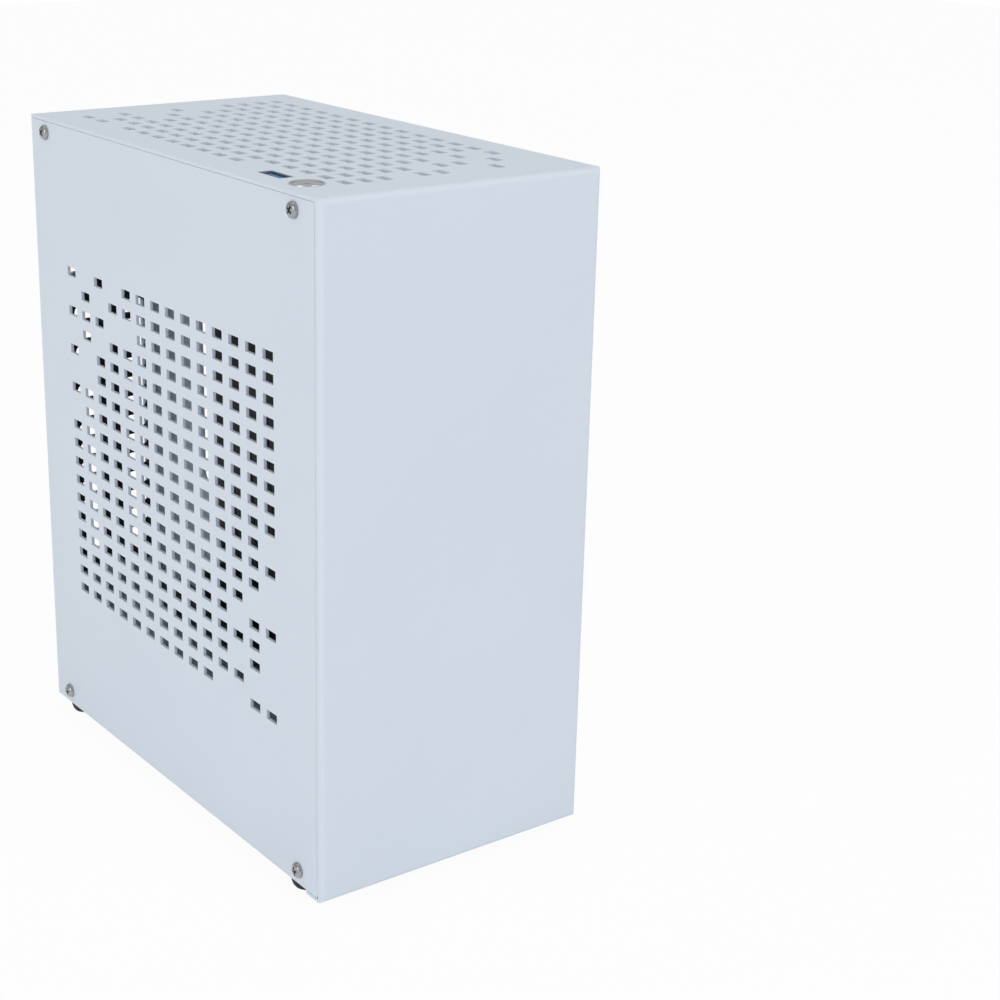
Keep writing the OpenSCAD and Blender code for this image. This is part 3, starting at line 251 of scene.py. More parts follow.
zinc = plated_steel("bright_zinc", (0.42, 0.43, 0.44), 0.28)
dress(zinc, "frame_rivets", "foot_screws", "port_bracket", "port_screws", "button_nut", "riser_posts")


def begin(kind, **settings):
    """Adds a primitive at the origin and opens it for editing with all of it selected."""
    bpy.ops.object.select_all(action="DESELECT")
    getattr(bpy.ops.mesh, f"primitive_{kind}_add")(**settings)
    bpy.ops.object.mode_set(mode="EDIT")
    bpy.ops.mesh.select_mode(type="VERT")
    bpy.ops.mesh.select_all(action="SELECT")


def block(low, high):
    """Opens a box between two corners given in millimetres."""
    begin("cube", size=1)
    bpy.ops.transform.resize(value=[(b - a) * MM for a, b in zip(low, high)])
    bpy.ops.transform.translate(value=[(a + b) / 2 * MM for a, b in zip(low, high)])


def pick(kind, test):
    """Selects only the faces or edges whose middle, in millimetres, passes the test."""
    bpy.ops.mesh.select_mode(type={"faces": "FACE", "edges": "EDGE"}[kind])
    bpy.ops.mesh.select_all(action="DESELECT")
    shape = bmesh.from_edit_mesh(bpy.context.object.data)
    for part in getattr(shape, kind):
        corners = [corner.co for corner in part.verts]
        if test(sum(corners, Vector()) / len(corners) / MM, corners):
            part.select_set(True)
    shape.select_flush_mode()
    bmesh.update_edit_mesh(bpy.context.object.data)


def close(name):
    """Ends editing and names the piece."""
    bpy.ops.object.mode_set(mode="OBJECT")
    bpy.context.object.name = name
    return bpy.context.object


def soften(width, segments=2):
    """Bevels every edge of the open box by a width in millimetres."""
    bpy.ops.mesh.select_all(action="SELECT")
    bpy.ops.mesh.bevel(offset=width * MM, segments=segments, affect="EDGES")


def turned(profile, steps, closed=False):
    """Opens a turned piece: an outline of radii and heights in millimetres, drawn by points and spun."""
    begin("plane", size=MM)
    bpy.ops.mesh.merge(type="CENTER")
    bpy.ops.transform.translate(value=(profile[0][0] * MM, 0, profile[0][1] * MM))
    outline = profile + profile[:1] if closed else profile
    for start, end in zip(outline, outline[1:]):
        step = ((end[0] - start[0]) * MM, 0, (end[1] - start[1]) * MM)
        bpy.ops.mesh.extrude_region_move(TRANSFORM_OT_translate={"value": step})
    bpy.ops.mesh.select_all(action="SELECT")
    bpy.ops.mesh.spin(steps=steps, angle=math.tau, center=(0, 0, 0), axis=(0, 0, 1))
    bpy.ops.mesh.select_all(action="SELECT")
    bpy.ops.mesh.remove_doubles(threshold=0.002 * MM)
    bpy.ops.mesh.normals_make_consistent(inside=False)


def cut(piece, cutter):
    """Cuts one piece with another, which is then removed."""
    bpy.ops.object.select_all(action="DESELECT")
    piece.select_set(True)
    bpy.context.view_layer.objects.active = piece
    modifier = piece.modifiers.new("cut", "BOOLEAN")
    modifier.operation = "DIFFERENCE"
    modifier.object = cutter
    bpy.ops.object.modifier_apply(modifier="cut")
    bpy.data.objects.remove(cutter)


def twin(piece, matrix):
    """A copy of a piece with its own mesh, put somewhere else."""
    made = piece.copy()
    made.data = piece.data.copy()
    made.data.transform(matrix)
    bpy.context.scene.collection.objects.link(made)
    return made


def joined(pieces, name):
    """Several pieces as one."""
    bpy.ops.object.select_all(action="DESELECT")
    for piece in pieces:
        piece.select_set(True)
    bpy.context.view_layer.objects.active = pieces[0]
    if len(pieces) > 1:
        bpy.ops.object.join()
    pieces[0].name = name
    return pieces[0]


def finished(piece, material, slot, body, *replaced):
    """Material, smooth shading, and the body and CAD nodes that the piece goes with."""
    smooth_up_to = math.radians(35)
    bpy.ops.object.select_all(action="DESELECT")
    piece.select_set(True)
    bpy.context.view_layer.objects.active = piece
    bpy.ops.object.shade_smooth_by_angle(angle=smooth_up_to)
    piece.data.materials.clear()
    piece.data.materials.append(material)
    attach(piece, body)
    if replaced:
        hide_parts(*replaced)


def cross_screw(head_d, head_h, thread_d, thread_l):
    """A pan head screw on its seat at the origin: domed head, tapered cross recess and rolled thread."""
    head_r = head_d / 2
    dome_shares = [(0, 1), (0.45, 0.985), (0.7, 0.9), (0.87, 0.72), (0.96, 0.45), (1, 0.2), (0.97, 0)]
    turns_per_thread_d = 6
    crest_share, root_share, rise_share = 0.6, 0.85, 1.25
    recess_l_share, recess_w_share, recess_low_share, recess_high_share = 0.64, 0.16, 0.3, 1.3
    recess_taper = (0.5, 0.6, 1)
    pitch = thread_d / turns_per_thread_d
    outer, root = thread_d / 2, thread_d / 2 - pitch / 2
    profile = [(head_r * u, head_h * v) for u, v in dome_shares] + [(outer, 0)]
    for n in range(int(thread_l / pitch) - 1):
        profile += [(outer, -(n + crest_share) * pitch), (root, -(n + root_share) * pitch)]
        profile += [(root, -(n + 1) * pitch), (outer, -(n + rise_share) * pitch)]
    profile += [(root, -thread_l), (0, -thread_l)]
    turned(profile, 28)
    screw = close("screw")
    for turn in (0, 90):
        half_l, half_w = recess_l_share * head_r, recess_w_share * head_r
        block((-half_l, -half_w, recess_low_share * head_h), (half_l, half_w, recess_high_share * head_h))
        pick("faces", lambda middle, corners: middle.z < head_h / 2)
        bpy.ops.transform.resize(value=recess_taper, center_override=(0, 0, 0))
        cutter = close("recess")
        cutter.data.transform(Matrix.Rotation(math.radians(turn), 4, "Z"))
        cut(screw, cutter)
    return screw


def set_screws(node, axis, sign, sizes, material, slot, body="case"):
    """Puts one screw at each place where the CAD node has one, heads towards the signed axis."""
    low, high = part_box(node)
    head_r, head_h = sizes[0] / 2 * MM, sizes[1] * MM
    places = []
    for line in range(3):
        if line == axis:
            places.append([high[line] - head_h if sign > 0 else low[line] + head_h])
        elif high[line] - low[line] > 3 * head_r:
            places.append([low[line] + head_r, high[line] - head_r])
        else:
            places.append([(low[line] + high[line]) / 2])
    model = cross_screw(*sizes)
    first_turn, next_turn = 17, 39
    outward = Vector([sign if line == axis else 0 for line in range(3)])
    facing = outward.to_track_quat("Z", "Y").to_matrix().to_4x4()
    made = []
    for n, place in enumerate([(x, y, z) for x in places[0] for y in places[1] for z in places[2]]):
        driven = Matrix.Rotation(math.radians(first_turn + next_turn * n), 4, "Z")
        made.append(twin(model, Matrix.Translation(place) @ facing @ driven))
    bpy.data.objects.remove(model)
    finished(joined(made, node + "_shown"), material, slot, body, node)


# Head diameter, head height, thread diameter and thread length of each kind
case_screw_sizes = (5.8, 1.9, 3, 5)
cover_screw_sizes = (6.4, 1.9, 3, 5)
plug_screw_sizes = (3.8, 1.3, 2, 5)
set_screws("left_panel_screws", 0, -1, case_screw_sizes, zinc, "zinc_steel", "left_side")
set_screws("right_panel_screws", 0, 1, case_screw_sizes, zinc, "zinc_steel", "right_side")
set_screws("lip_screws", 2, -1, case_screw_sizes, zinc, "zinc_steel")
set_screws("riser_screws", 2, 1, case_screw_sizes, zinc, "zinc_steel")
set_screws("slot_cover_screws", 2, 1, cover_screw_sizes, zinc, "zinc_steel")


# Board standoffs.
# Turned hexagon brass with a threaded bore, pressed into the divider.
brass = plated_steel("turned_brass", (0.66, 0.47, 0.19), 0.32)
dress(brass, "board_standoffs")


# Slot covers.
# Thin punched steel strips in matt black paint, each held by one screw on the bracket's shelf.
def matt_black(name, color, roughness, grain, depth):
    made, shader, place = new_finish(name, color, roughness)
    specks = noise(place, grain, 2.0)
    drive(
        shader,
        Base_Color=specks.blend([shade * 0.8 for shade in color], [shade * 1.25 for shade in color]),
        Roughness=roughness - 0.06 + specks * 0.12,
        Normal=bump(specks, depth, 0.4),
    )
    return made


black_paint = matt_black("black_paint", (0.025, 0.026, 0.028), 0.55, 0.7 * MM, 0.03 * MM)
cover_sheet, cover_chamfer, cut_past = 0.8, 2.5, 1
cover_hole_w, cover_hole_h, cover_hole_count = 10.4, 5.4, 13
cover_hole_foot, cover_hole_head = 12, 12.8
round_share = 0.96
screw_hole_r, screw_hole_inset = 1.7, 5.4
for node in ("slot_cover_inner", "slot_cover_outer"):
    low, high = (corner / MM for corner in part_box(node))
    middle_x = (low.x + high.x) / 2
    half_w, half_h = cover_hole_w / 2, cover_hole_h / 2
    block(low, (high.x, low.y + cover_sheet, high.z))
    foot_z = low.z + cover_sheet
    pick("edges", lambda middle, corners: middle.z < foot_z and abs(middle.x - middle_x) > half_w)
    bpy.ops.mesh.bevel(offset=cover_chamfer * MM, segments=1, affect="EDGES")
    strip = close("strip")
    span = (low.z + cover_hole_foot, high.z - cover_hole_head)
    for n in range(cover_hole_count):
        level_z = span[0] + (span[1] - span[0]) * n / (cover_hole_count - 1)
        hole_low = (middle_x - half_w, low.y - cut_past, level_z - half_h)
        block(hole_low, (middle_x + half_w, low.y + cover_sheet + cut_past, level_z + half_h))
        pick("edges", lambda middle, corners: abs(corners[0].y - corners[1].y) > MM)
        bpy.ops.mesh.bevel(offset=half_h * round_share * MM, segments=6, affect="EDGES")
        cut(strip, close("hole"))
    block((low.x, low.y, high.z - cover_sheet), high)
    tab = close("tab")
    under, over = high.z - cover_sheet - cut_past, high.z + cut_past
    turned([(0, under), (screw_hole_r, under), (screw_hole_r, over), (0, over)], 24)
    hole = close("hole")
    hole.data.transform(Matrix.Translation((middle_x * MM, (high.y - screw_hole_inset) * MM, 0)))
    cut(tab, hole)
    finished(joined([strip, tab], node + "_shown"), black_paint, "black_paint", "case", node)


# Rubber feet.
# Moulded black rubber domes with a sole, a moulding line and a screw well, each screwed on from below.
rubber = matt_black("foot_rubber", (0.02, 0.02, 0.021), 0.75, 0.5 * MM, 0.04 * MM)
shank_r, well_r, well_flare, well_edge = 0.95, 1.8, 0.3, 0.25
# The dome's radii are shares of the foot's radius, each at its height
dome_shares = ((0.72, 0), (0.8, 0.25), (0.9, 1.1), (0.97, 2.3), (1, 3.3), (1, 3.6))
line_low, line_high, line_depth, line_edge = 3.7, 3.9, 0.15, 0.1
foot_edge = 0.3
for node in ("foot_front_left", "foot_front_right", "foot_rear_left", "foot_rear_right"):
    low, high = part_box(node)
    height = (high.z - low.z) / MM
    radius = (high.x - low.x) / 2 / MM
    line_r = radius - line_depth
    outline = [(shank_r, height / 2), (well_r, height / 2), (well_r, well_edge), (well_r + well_flare, 0)]
    outline += [(share * radius, level) for share, level in dome_shares]
    outline += [(line_r, line_low), (line_r, line_high), (radius, line_high + line_edge)]
    outline += [(radius, height - foot_edge), (radius - foot_edge, height), (shank_r, height)]
    turned(outline, 48, closed=True)
    foot = close(node + "_shown")
    foot.data.transform(Matrix.Translation(((low.x + high.x) / 2, (low.y + high.y) / 2, 0)))
    finished(foot, rubber, "rubber", "case", node)


# Power button: ring, cap, lens and switch.
# Ring and cap are turned and anodised aluminium with fine lathe lines, the ring's barrel has a rolled thread,
# and the lens is frosted plastic set in the cap's middle.
def turned_finish(name, color, roughness, axis_x, axis_y):
    """Satin metal with lathe lines about a vertical axis."""
    made, shader, place = new_finish(name, color, roughness, 1.0)
    split = place.node("ShaderNodeSeparateXYZ", {}, {0: place})
    height_y = Signal(split.tree, split.socket.node.outputs[1])
    off_x, off_y = split - axis_x, height_y - axis_y
    square = off_x * off_x + off_y * off_y
    radius = square.math("SQRT", square)
    line_pitch = 0.16 * MM
    wave = radius * (math.tau / line_pitch)
    lines = wave.math("SINE", wave)
    mottle = noise(place, 2 * MM, 3.0)
    drive(
        shader,
        Base_Color=mottle.blend([shade * 0.9 for shade in color], color),
        Roughness=roughness - 0.05 + mottle * 0.1,
        Normal=bump(lines, 0.004 * MM, 0.5),
    )
    return made


ring_low, ring_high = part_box("button_ring")
button_x, button_y = (ring_low.x + ring_high.x) / 2, (ring_low.y + ring_high.y) / 2
case_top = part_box("front_top_cover")[1].z
at_button = Matrix.Translation((button_x, button_y, 0))
anodised = turned_finish("satin_anodised", (0.62, 0.64, 0.67), 0.34, button_x, button_y)
bore, barrel, flange = 5.1, 5.5, (ring_high.x - ring_low.x) / 2 / MM
top, seat, foot_z = ring_high.z / MM, case_top / MM, ring_low.z / MM
bore_edge, rim_w, rim_h = 0.15, 0.3, 0.2
round_w, round_h = 0.08, 0.07
outline = [(bore, foot_z), (bore, top - rim_h), (bore + bore_edge, top), (flange - rim_w, top)]
outline += [(flange - round_w, top - round_h), (flange, top - rim_h), (flange, seat), (barrel, seat)]
barrel_pitch, barrel_slope, barrel_depth, barrel_plain, barrel_end = 0.75, 0.35, 0.2, 1.4, 1.5
for n in range(int((seat - foot_z - barrel_end) / barrel_pitch)):
    level_z = seat - barrel_plain - n * barrel_pitch
    outline += [(barrel, level_z), (barrel - barrel_depth, level_z - barrel_slope)]
outline += [(barrel - barrel_depth, foot_z)]
turned(outline, 96, closed=True)
ring = close("button_ring_shown")
ring.data.transform(at_button)
finished(ring, anodised, "satin_aluminium", "case", "button_ring")

cap_low, cap_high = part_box("button_cap")
cap_r, cap_top, cap_foot = (cap_high.x - cap_low.x) / 2 / MM, cap_high.z / MM, cap_low.z / MM
stem_r, cap_h, cap_edge = 1.7, 3.4, 0.25
dish_r, dish_depth = 3.2, 0.07
pocket_r, pocket_h, pocket_edge_w, pocket_edge_top, pocket_edge_foot = 1.05, 1.7, 0.2, 0.1, 0.22
skirt = cap_top - cap_h
outline = [(0, cap_foot), (stem_r, cap_foot), (stem_r, skirt), (cap_r, skirt), (cap_r, cap_top - cap_edge)]
outline += [(cap_r - round_w, cap_top - round_h), (cap_r - cap_edge, cap_top), (dish_r, cap_top - dish_depth)]
outline += [(pocket_r + pocket_edge_w, cap_top - pocket_edge_top), (pocket_r, cap_top - pocket_edge_foot)]
outline += [(pocket_r, cap_top - pocket_h), (0, cap_top - pocket_h)]
turned(outline, 96)
cap = close("button_cap_shown")
cap.data.transform(at_button)
finished(cap, anodised, "satin_aluminium", "power_button", "button_cap")

frosted, frosted_shader, frosted_place = new_finish("frosted_lens", (0.24, 0.27, 0.31), 0.4)
frosted_grain = noise(frosted_place, 0.2 * MM)
drive(frosted_shader, Roughness=0.35 + frosted_grain * 0.2, Normal=bump(frosted_grain, 0.01 * MM, 0.3))
lens_low, lens_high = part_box("button_lens")
lens_top, lens_foot = lens_high.z / MM, lens_low.z / MM
lens_r, crown_r, crown_h, lens_edge = 1, 0.8, 0.03, 0.15
outline = [(0, lens_foot), (lens_r, lens_foot), (lens_r, lens_top - lens_edge), (crown_r, lens_top - crown_h)]
turned(outline + [(0, lens_top)], 48)
lens = close("button_lens_shown")
lens.data.transform(at_button)
finished(lens, frosted, "lens", "power_button", "button_lens")

black_plastic = matt_black("black_plastic", (0.022, 0.022, 0.024), 0.5, 0.4 * MM, 0.02 * MM)
dress(black_plastic, "switch_body", "switch_plug", "usb_plug", "cable_clips")


# Button spring.
# Round steel wire wound in four open turns between the switch and the cap.
wire_r, spring_turns, button_travel = 0.25, 4, 1.2
low, high = (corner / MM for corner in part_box("button_spring"))
spring_h = high.z - low.z
coil_r = (high.x - low.x) / 2 - wire_r
begin("circle", radius=wire_r * MM, vertices=12, fill_type="NOTHING")
bpy.ops.transform.rotate(value=math.radians(90), orient_axis="X", center_override=(0, 0, 0))
bpy.ops.transform.translate(value=(coil_r * MM, 0, (low.z + wire_r) * MM))
spring = close("button_spring_shown")
coil = spring.modifiers.new("coil", "SCREW")
coil.iterations = spring_turns
coil.screw_offset = (spring_h - 2 * wire_r) / spring_turns * MM
coil.steps = 32
bpy.ops.object.modifier_apply(modifier="coil")
bpy.ops.object.mode_set(mode="EDIT")
bpy.ops.mesh.select_all(action="SELECT")
bpy.ops.mesh.fill_holes(sides=0)
bpy.ops.mesh.normals_make_consistent(inside=False)
bpy.ops.object.mode_set(mode="OBJECT")
spring.data.transform(at_button)
finished(spring, zinc, "zinc_steel", "case", "button_spring")
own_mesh(spring)


# Port: shell, tongue and contacts.
# The shell is folded from nickel plated sheet, with two spring fingers in each wide side.
# The tongue is moulded blue plastic with four long and five short gold plated contacts.
nickel = plated_steel("nickel_plate", (0.6, 0.6, 0.59), 0.26)
low, high = (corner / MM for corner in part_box("usb_shell"))
shell_sheet, shell_corner = 0.4, 0.7
finger_offset, finger_half, finger_slot_half = 3.6, 0.95, 1.25
finger_foot, finger_tip, finger_spring = 10.3, 3.5, 0.5
finger_slot_foot, finger_slot_tip = 10.2, 3
block(low, high)
pick("edges", lambda middle, corners: abs(corners[0].z - corners[1].z) > MM)
bpy.ops.mesh.bevel(offset=shell_corner * MM, segments=4, affect="EDGES")
pick("faces", lambda middle, corners: middle.z > high.z - shell_sheet or middle.z < low.z + shell_sheet)
bpy.ops.mesh.delete(type="FACE")
shell = close("usb_shell_shown")
wall = shell.modifiers.new("wall", "SOLIDIFY")
wall.thickness = shell_sheet * MM
wall.offset = -1
bpy.ops.object.modifier_apply(modifier="wall")
middle_x, middle_y = (low.x + high.x) / 2, (low.y + high.y) / 2
parts = [shell]
for side in (-1, 1):
    for place in (-1, 1):
        wall_x = middle_x + side * (high.x - low.x) / 2
        finger_y = middle_y + place * finger_offset
        slot_low = (wall_x - cut_past, finger_y - finger_slot_half, high.z - finger_slot_foot)
        block(slot_low, (wall_x + cut_past, finger_y + finger_slot_half, high.z - finger_slot_tip))
        cut(shell, close("finger_slot"))
        inner, outer = sorted((wall_x - side * shell_sheet, wall_x))
        finger_low = (inner, finger_y - finger_half, high.z - finger_foot)
        block(finger_low, (outer, finger_y + finger_half, high.z - finger_tip))
        pick("faces", lambda middle, corners: middle.z > high.z - finger_tip - shell_sheet)
        bpy.ops.transform.translate(value=(-side * finger_spring * MM, 0, 0))
        parts.append(close("finger"))
finished(joined(parts, "usb_shell_shown"), nickel, "nickel_shell", "case", "usb_shell")

blue, blue_shader, blue_place = new_finish("blue_plastic", (0.035, 0.16, 0.4), 0.35)
blue_grain = noise(blue_place, 0.4 * MM)
drive(
    blue_shader,
    Base_Color=blue_grain.blend((0.031, 0.145, 0.36), (0.039, 0.175, 0.44)),
    Roughness=0.3 + blue_grain * 0.15,
    Normal=bump(blue_grain, 0.01 * MM, 0.3),
)
low, high = (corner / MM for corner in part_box("usb_tongue"))
gold_low, gold_high = (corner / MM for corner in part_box("usb_contacts"))
base_edge, blade_edge, blade_h, blade_side, blade_root = 0.15, 0.25, 2.2, 0.75, 0.5
block(low, (high.x, high.y, gold_low.z))
soften(base_edge)
base = close("base")
blade_low = (gold_high.x, gold_low.y - blade_side, gold_low.z - blade_root)
block(blade_low, (gold_high.x + blade_h, gold_high.y + blade_side, high.z))
soften(blade_edge, 3)
finished(joined([base, close("blade")], "usb_tongue_shown"), blue, "blue_plastic", "case", "usb_tongue")

gold = plated_steel("gold_plate", (0.75, 0.53, 0.2), 0.25)
contact_root = 0.05
short_count, short_half, short_l = 5, 0.45, 3.2
long_count, long_half, long_inset, long_start, long_edge = 4, 0.5, 1.7, 3.6, 0.12
contacts = []
gold_w = gold_high.y - gold_low.y
for n in range(short_count):
    contact_y = gold_low.y + short_half + n * (gold_w - 2 * short_half) / (short_count - 1)
    contact_low = (gold_low.x, contact_y - short_half, gold_low.z)
    block(contact_low, (gold_high.x + contact_root, contact_y + short_half, gold_low.z + short_l))
    contacts.append(close("short_contact"))
for n in range(long_count):
    contact_y = gold_low.y + long_inset + n * (gold_w - 2 * long_inset) / (long_count - 1)
    contact_low = (gold_low.x, contact_y - long_half, gold_low.z + long_start)
    block(contact_low, (gold_high.x + contact_root, contact_y + long_half, gold_high.z))
    tip_z, face_x = gold_high.z - long_edge, gold_low.x + contact_root
    pick("edges", lambda middle, corners: middle.z > tip_z and middle.x < face_x)
    bpy.ops.mesh.bevel(offset=long_edge * MM, segments=2, affect="EDGES")
    contacts.append(close("long_contact"))
finished(joined(contacts, "usb_contacts_shown"), gold, "gold_contacts", "case", "usb_contacts")


# Circuit boards.
# Glass laminate under black solder mask, with the copper tracks showing as faint ridges.
# Two small black screws hold the clamp bar on the plug board.
def solder_mask(name, color):
    made, shader, place = new_finish(name, color, 0.3, IOR=1.5)
    cells_per_metre, track_share = 220, 0.06
    sockets = {"Vector": place, "Scale": cells_per_metre}
    tracks = place.node("ShaderNodeTexVoronoi", {"feature": "DISTANCE_TO_EDGE"}, sockets)
    ridge = tracks < track_share
    drive(
        shader,
        Base_Color=ridge.blend(color, [shade * 1.8 + 0.004 for shade in color]),
        Roughness=0.28 + noise(place, 1.0 * MM) * 0.12,
        Normal=bump(ridge, 0.03 * MM, 0.3),
    )
    return made


board_mask = solder_mask("black_mask", (0.012, 0.013, 0.014))
dress(board_mask, "riser_board", "plug_board", "plug_fingers", "port_board")
set_screws("plug_screws", 0, 1, plug_screw_sizes, black_plastic, "black_screws")


# Riser's card slot, its solder joints and the rims of its ear holes.
# The slot is moulded black plastic with castellated sides and gold spring contacts down both walls. Its pins
# are soldered under the board, and the two slotted ear holes have gold plated rims.
board_low, board_high = (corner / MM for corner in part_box("riser_board"))
slot_low, slot_high = (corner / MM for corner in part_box("riser_slot"))
body_w, body_l, body_edge = 7.4, 89, 0.25
trough_w, trough_h, trough_end, trough_flare = 1.9, 8, 2, (1.9, 1, 1)
key_from_end, key_l = 14.5, 1.8
rib_count, rib_l, rib_foot, rib_top, rib_edge = 15, 3.4, 5.2, 0.25, 0.12
rib_root, rib_proud_left, rib_proud_right = 0.2, 0.5, 0.25
ear_gap, ear_h, ear_root, ear_round = 4.8, 5.2, 1, 2.2
card_x = slot_high.x - body_w / 2
body_low_y = slot_high.y - body_l
block((card_x - body_w / 2, body_low_y, slot_low.z), (card_x + body_w / 2, slot_high.y, slot_high.z))
soften(body_edge)
body = close("slot_body")
key_y = slot_high.y - key_from_end
troughs = ((body_low_y + trough_end, key_y - key_l / 2), (key_y + key_l / 2, slot_high.y - trough_end))
for start, end in troughs:
    trough_low = (card_x - trough_w / 2, start, slot_high.z - trough_h)
    block(trough_low, (card_x + trough_w / 2, end, slot_high.z + cut_past))
    pick("faces", lambda middle, corners: middle.z > slot_high.z)
    bpy.ops.transform.resize(value=trough_flare, center_override=(card_x * MM, 0, 0))
    cut(body, close("trough"))
parts = [body]
rib_pitch = body_l / rib_count
for n in range(rib_count):
    rib_y = body_low_y + (n + 0.5) * rib_pitch
    for side, proud in ((-1, rib_proud_left), (1, rib_proud_right)):
        wall_x = card_x + side * body_w / 2
        inner, outer = sorted((wall_x - side * rib_root, wall_x + side * proud))
        rib_low = (inner, rib_y - rib_l / 2, slot_high.z - rib_foot)
        block(rib_low, (outer, rib_y + rib_l / 2, slot_high.z - rib_top))
        soften(rib_edge, 1)
        parts.append(close("rib"))
for side in (-1, 1):
    inner, outer = sorted((card_x + side * ear_gap / 2, card_x + side * body_w / 2))
    ear_top = slot_low.z + ear_h
    block((inner, slot_low.y, slot_low.z), (outer, body_low_y + ear_root, ear_top))
    pick("edges", lambda middle, corners: middle.z > ear_top - ear_round and middle.y < slot_low.y + ear_round
         and abs(corners[0].x - corners[1].x) > MM)
    bpy.ops.mesh.bevel(offset=ear_round * MM, segments=6, affect="EDGES")
    parts.append(close("ear"))
finished(joined(parts, "riser_slot_shown"), black_plastic, "black_plastic", "case", "riser_slot")

pin_low, pin_high = (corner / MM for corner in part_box("riser_pins"))
pin_count, key_pins, pin_d = 84, (71, 72), 0.4
row_offset = 1.6
contact_in, contact_out, contact_l, contact_foot, contact_top, contact_lean = 0.6, 0.95, 0.55, 7, 1.2, 0.25
joint_shape = [(0.42, pin_high.z), (0.3, pin_high.z - 0.2), (0.2, pin_low.z + 0.1), (0, pin_low.z)]
pin_pitch = (pin_high.y - pin_low.y - pin_d) / (pin_count - 1)
pin_places = [n for n in range(pin_count) if n not in key_pins]
contact_low = (card_x - contact_out, pin_low.y, slot_high.z - contact_foot)
block(contact_low, (card_x - contact_in, pin_low.y + contact_l, slot_high.z - contact_top))
pick("faces", lambda middle, corners: middle.z > slot_high.z - contact_top - contact_l)
bpy.ops.transform.translate(value=(-contact_lean * MM, 0, 0))
spring = close("spring_contact")
turned(joint_shape, 8)
joint = close("solder_joint")
facing = Matrix.Translation((2 * card_x * MM, 0, 0)) @ Matrix.Scale(-1, 4, (1, 0, 0))
springs, joints = [], []
for n in pin_places:
    shift = Matrix.Translation((0, n * pin_pitch * MM, 0))
    springs.append(twin(spring, shift))
    springs.append(twin(spring, facing @ shift))
    for row in (-1, 1):
        first = Matrix.Translation(((card_x + row * row_offset) * MM, (pin_low.y + pin_d / 2) * MM, 0))
        joints.append(twin(joint, first @ shift))
bpy.data.objects.remove(spring)
bpy.data.objects.remove(joint)
springs = joined(springs, "slot_contacts")
bpy.ops.object.mode_set(mode="EDIT")
bpy.ops.mesh.select_all(action="SELECT")
bpy.ops.mesh.normals_make_consistent(inside=False)
bpy.ops.object.mode_set(mode="OBJECT")
finished(springs, gold, "gold_contacts", "case")
solder = plated_steel("solder", (0.6, 0.61, 0.62), 0.32)
finished(joined(joints, "riser_pins_shown"), solder, "zinc_steel", "case", "riser_pins")

hole_w, hole_l, rim_w, rim_proud, post_r, slot_round_share = 4.3, 10.5, 0.8, 0.05, 2.75, 0.98
post_low, post_high = (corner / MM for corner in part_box("riser_posts"))
hole_x = (post_low.x + post_high.x) / 2
rims = []
for hole_y in (post_low.y + post_r, post_high.y - post_r):
    shapes = []
    for grow, proud in ((rim_w, rim_proud), (0, cut_past)):
        half_w, half_l = hole_w / 2 + grow, hole_l / 2 + grow
        rim_low = (hole_x - half_w, hole_y - half_l, board_low.z - proud)
        block(rim_low, (hole_x + half_w, hole_y + half_l, board_high.z + proud))
        pick("edges", lambda middle, corners: abs(corners[0].z - corners[1].z) > MM)
        bpy.ops.mesh.bevel(offset=half_w * slot_round_share * MM, segments=8, affect="EDGES")
        shapes.append(close("rim"))
    cut(*shapes)
    rims.append(shapes[0])
finished(joined(rims, "ear_hole_rims"), gold, "gold_contacts", "case")


# Card latch.
# One moulded lever with a rounded thumb pad, three grip ridges, a hook over the card and two hinge pins.
latch_low, latch_high = (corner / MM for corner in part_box("riser_latch"))
lever_half_w, lever_half_l, lever_round, lever_drop = 2.3, 2, 1.6, 0.2
pivot_from_end, pivot_h = 4.2, 3.4
hook_h, hook_root, hook_round = 2.4, 0.5, 1.1
pad_foot, pad_top, pad_edge = 2.2, 0.3, 0.4
ridge_count, ridge_first, ridge_pitch = 3, 1.5, 1.4
ridge_half_w, ridge_half_l, ridge_h, ridge_edge = 1.9, 0.3, 0.5, 0.1
pin_r, pin_edge = 0.9, 0.2
axis_y, axis_z = latch_high.y - pivot_from_end, slot_low.z + pivot_h
left, right = card_x - lever_half_w, card_x + lever_half_w
back, front = axis_y - lever_half_l, axis_y + lever_half_l
block((left, back, axis_z - lever_half_l), (right, front, latch_high.z - lever_drop))
pick("edges", lambda middle, corners: middle.z < axis_z - lever_half_l / 2
     and abs(corners[0].x - corners[1].x) > MM)
bpy.ops.mesh.bevel(offset=lever_round * MM, segments=5, affect="EDGES")
parts = [close("lever")]
block((left, front - hook_root, latch_high.z - hook_h), (right, latch_high.y, latch_high.z))
pick("edges", lambda middle, corners: middle.y > latch_high.y - hook_root
     and middle.z < latch_high.z - hook_h / 2 and abs(corners[0].x - corners[1].x) > MM)
bpy.ops.mesh.bevel(offset=hook_round * MM, segments=4, affect="EDGES")
parts.append(close("hook"))
block((left, latch_low.y, latch_high.z - pad_foot), (right, front, latch_high.z - pad_top))
soften(pad_edge, 3)
parts.append(close("thumb_pad"))
for n in range(ridge_count):
    ridge_y = latch_low.y + ridge_first + n * ridge_pitch
    ridge_low = (card_x - ridge_half_w, ridge_y - ridge_half_l, latch_high.z - ridge_h)
    block(ridge_low, (card_x + ridge_half_w, ridge_y + ridge_half_l, latch_high.z))
    soften(ridge_edge, 1)
    parts.append(close("ridge"))
pin_low_x, pin_high_x = latch_low.x - card_x, latch_high.x - card_x
outline = [(0, pin_low_x), (pin_r - pin_edge, pin_low_x), (pin_r, pin_low_x + pin_edge)]
outline += [(pin_r, pin_high_x - pin_edge), (pin_r - pin_edge, pin_high_x), (0, pin_high_x)]
turned(outline, 32)
pins = close("pins")
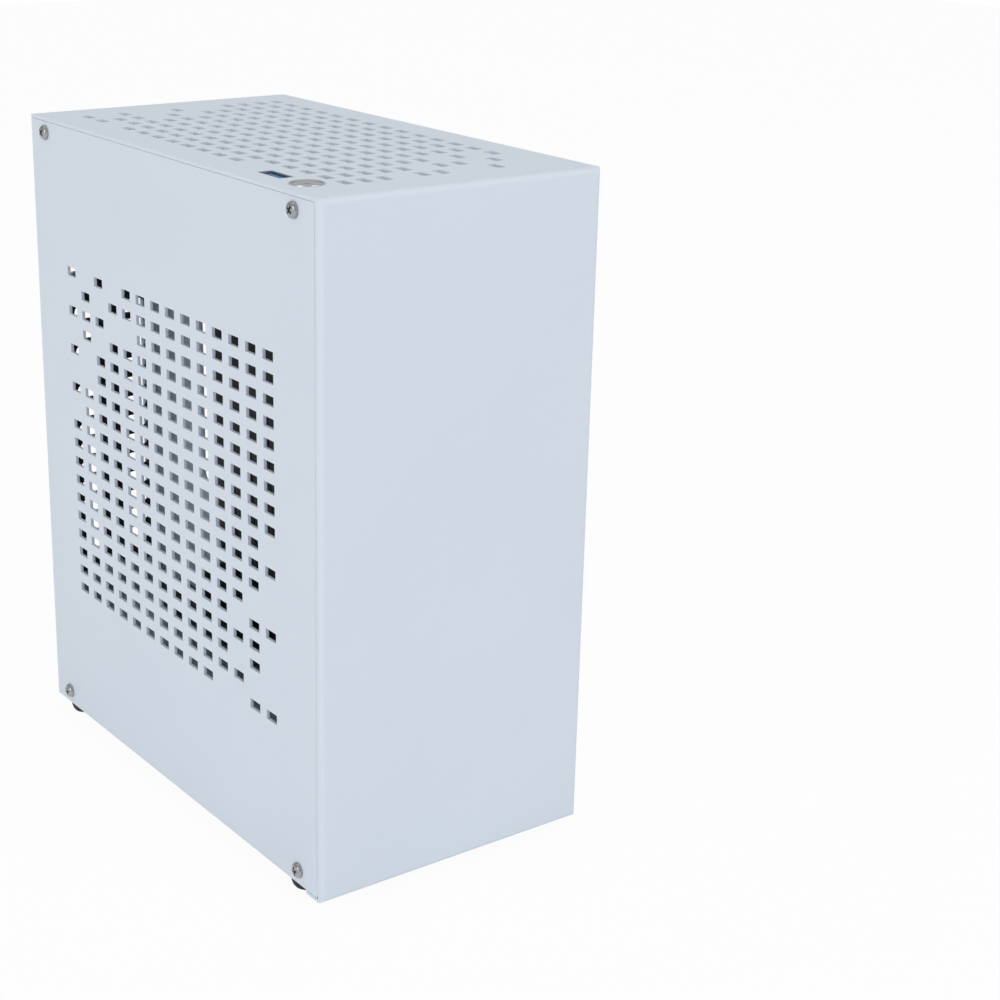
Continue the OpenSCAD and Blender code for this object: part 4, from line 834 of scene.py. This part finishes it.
across = Matrix.Rotation(math.radians(90), 4, "Y")
pins.data.transform(Matrix.Translation((card_x * MM, axis_y * MM, axis_z * MM)) @ across)
parts.append(pins)
finished(joined(parts, "riser_latch_shown"), black_plastic, "black_plastic", "card_latch", "riser_latch")
dress(black_plastic, "riser_clamp", "plug_clamp")


# Ribbon: six flat strips.
# Each strip is a row of wire pairs wrapped in black foil tape, folded round the divider's notch, with rounded
# edges down both sides.
foil = matt_black("ribbon_tape", (0.02, 0.02, 0.022), 0.42, 1.2 * MM, 0.03 * MM)
strip_count, strip_w, strip_thick, strip_edge, edge_angle = 6, 13.6, 0.9, 0.3, 50
wall_x, low_bend, high_bend, low_steps, high_steps = -11.05, 3, 5, 6, 8
end_above_foot = 7
low_turns = [math.radians(90 * k / low_steps) for k in range(low_steps + 1)]
high_turns = [math.radians(90 * k / high_steps) for k in range(high_steps + 1)]
plug_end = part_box("plug_board")[0].z / MM + end_above_foot
for n in range(1, strip_count + 1):
    low, high = (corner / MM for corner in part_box(f"ribbon_{n}"))
    half = strip_thick / 2
    plug_x = high.x - half
    low_z, bend_z = low.z + half, high.z - half - high_bend
    start_y, end_y = low.y + strip_w / 2, high.y - strip_w / 2
    path = [(low.x, start_y, low_z)]
    for turn in low_turns:
        off_wall, rise = low_bend * (1 - math.sin(turn)), low_bend * (1 - math.cos(turn))
        path.append((wall_x - off_wall, start_y, low_z + rise))
    for turn in high_turns:
        off_wall, rise = high_bend * (1 - math.cos(turn)), high_bend * math.sin(turn)
        path.append((wall_x + off_wall, end_y, bend_z + rise))
    for turn in high_turns:
        off_plug, rise = high_bend * (1 - math.sin(turn)), high_bend * math.cos(turn)
        path.append((plug_x - off_plug, end_y, bend_z + rise))
    path.append((plug_x, end_y, plug_end))
    begin("plane", size=strip_w * MM)
    bpy.ops.transform.resize(value=(0, 1, 1))
    bpy.ops.mesh.remove_doubles(threshold=0.01 * MM)
    bpy.ops.transform.translate(value=[place * MM for place in path[0]])
    for start, end in zip(path, path[1:]):
        step = [(b - a) * MM for a, b in zip(start, end)]
        bpy.ops.mesh.extrude_region_move(TRANSFORM_OT_translate={"value": step})
    bpy.ops.mesh.select_all(action="SELECT")
    bpy.ops.mesh.normals_make_consistent(inside=False)
    strip = close(f"ribbon_{n}_shown")
    skin = strip.modifiers.new("skin", "SOLIDIFY")
    skin.thickness = strip_thick * MM
    skin.offset = 0
    skin.use_even_offset = True
    bpy.ops.object.modifier_apply(modifier="skin")
    rounding = strip.modifiers.new("rounding", "BEVEL")
    rounding.width = strip_edge * MM
    rounding.segments = 3
    rounding.limit_method = "ANGLE"
    rounding.angle_limit = math.radians(edge_angle)
    bpy.ops.object.modifier_apply(modifier="rounding")
    finished(strip, foil, "ribbon_jacket", "case", f"ribbon_{n}")


# Cables.
# The button's and the port's round cables have a soft extruded black jacket with a faint grain.
# Both are held by saddles on the divider.
jacket = matt_black("cable_jacket", (0.018, 0.018, 0.019), 0.6, 0.8 * MM, 0.02 * MM)
dress(jacket, "usb_cable", "switch_cable")
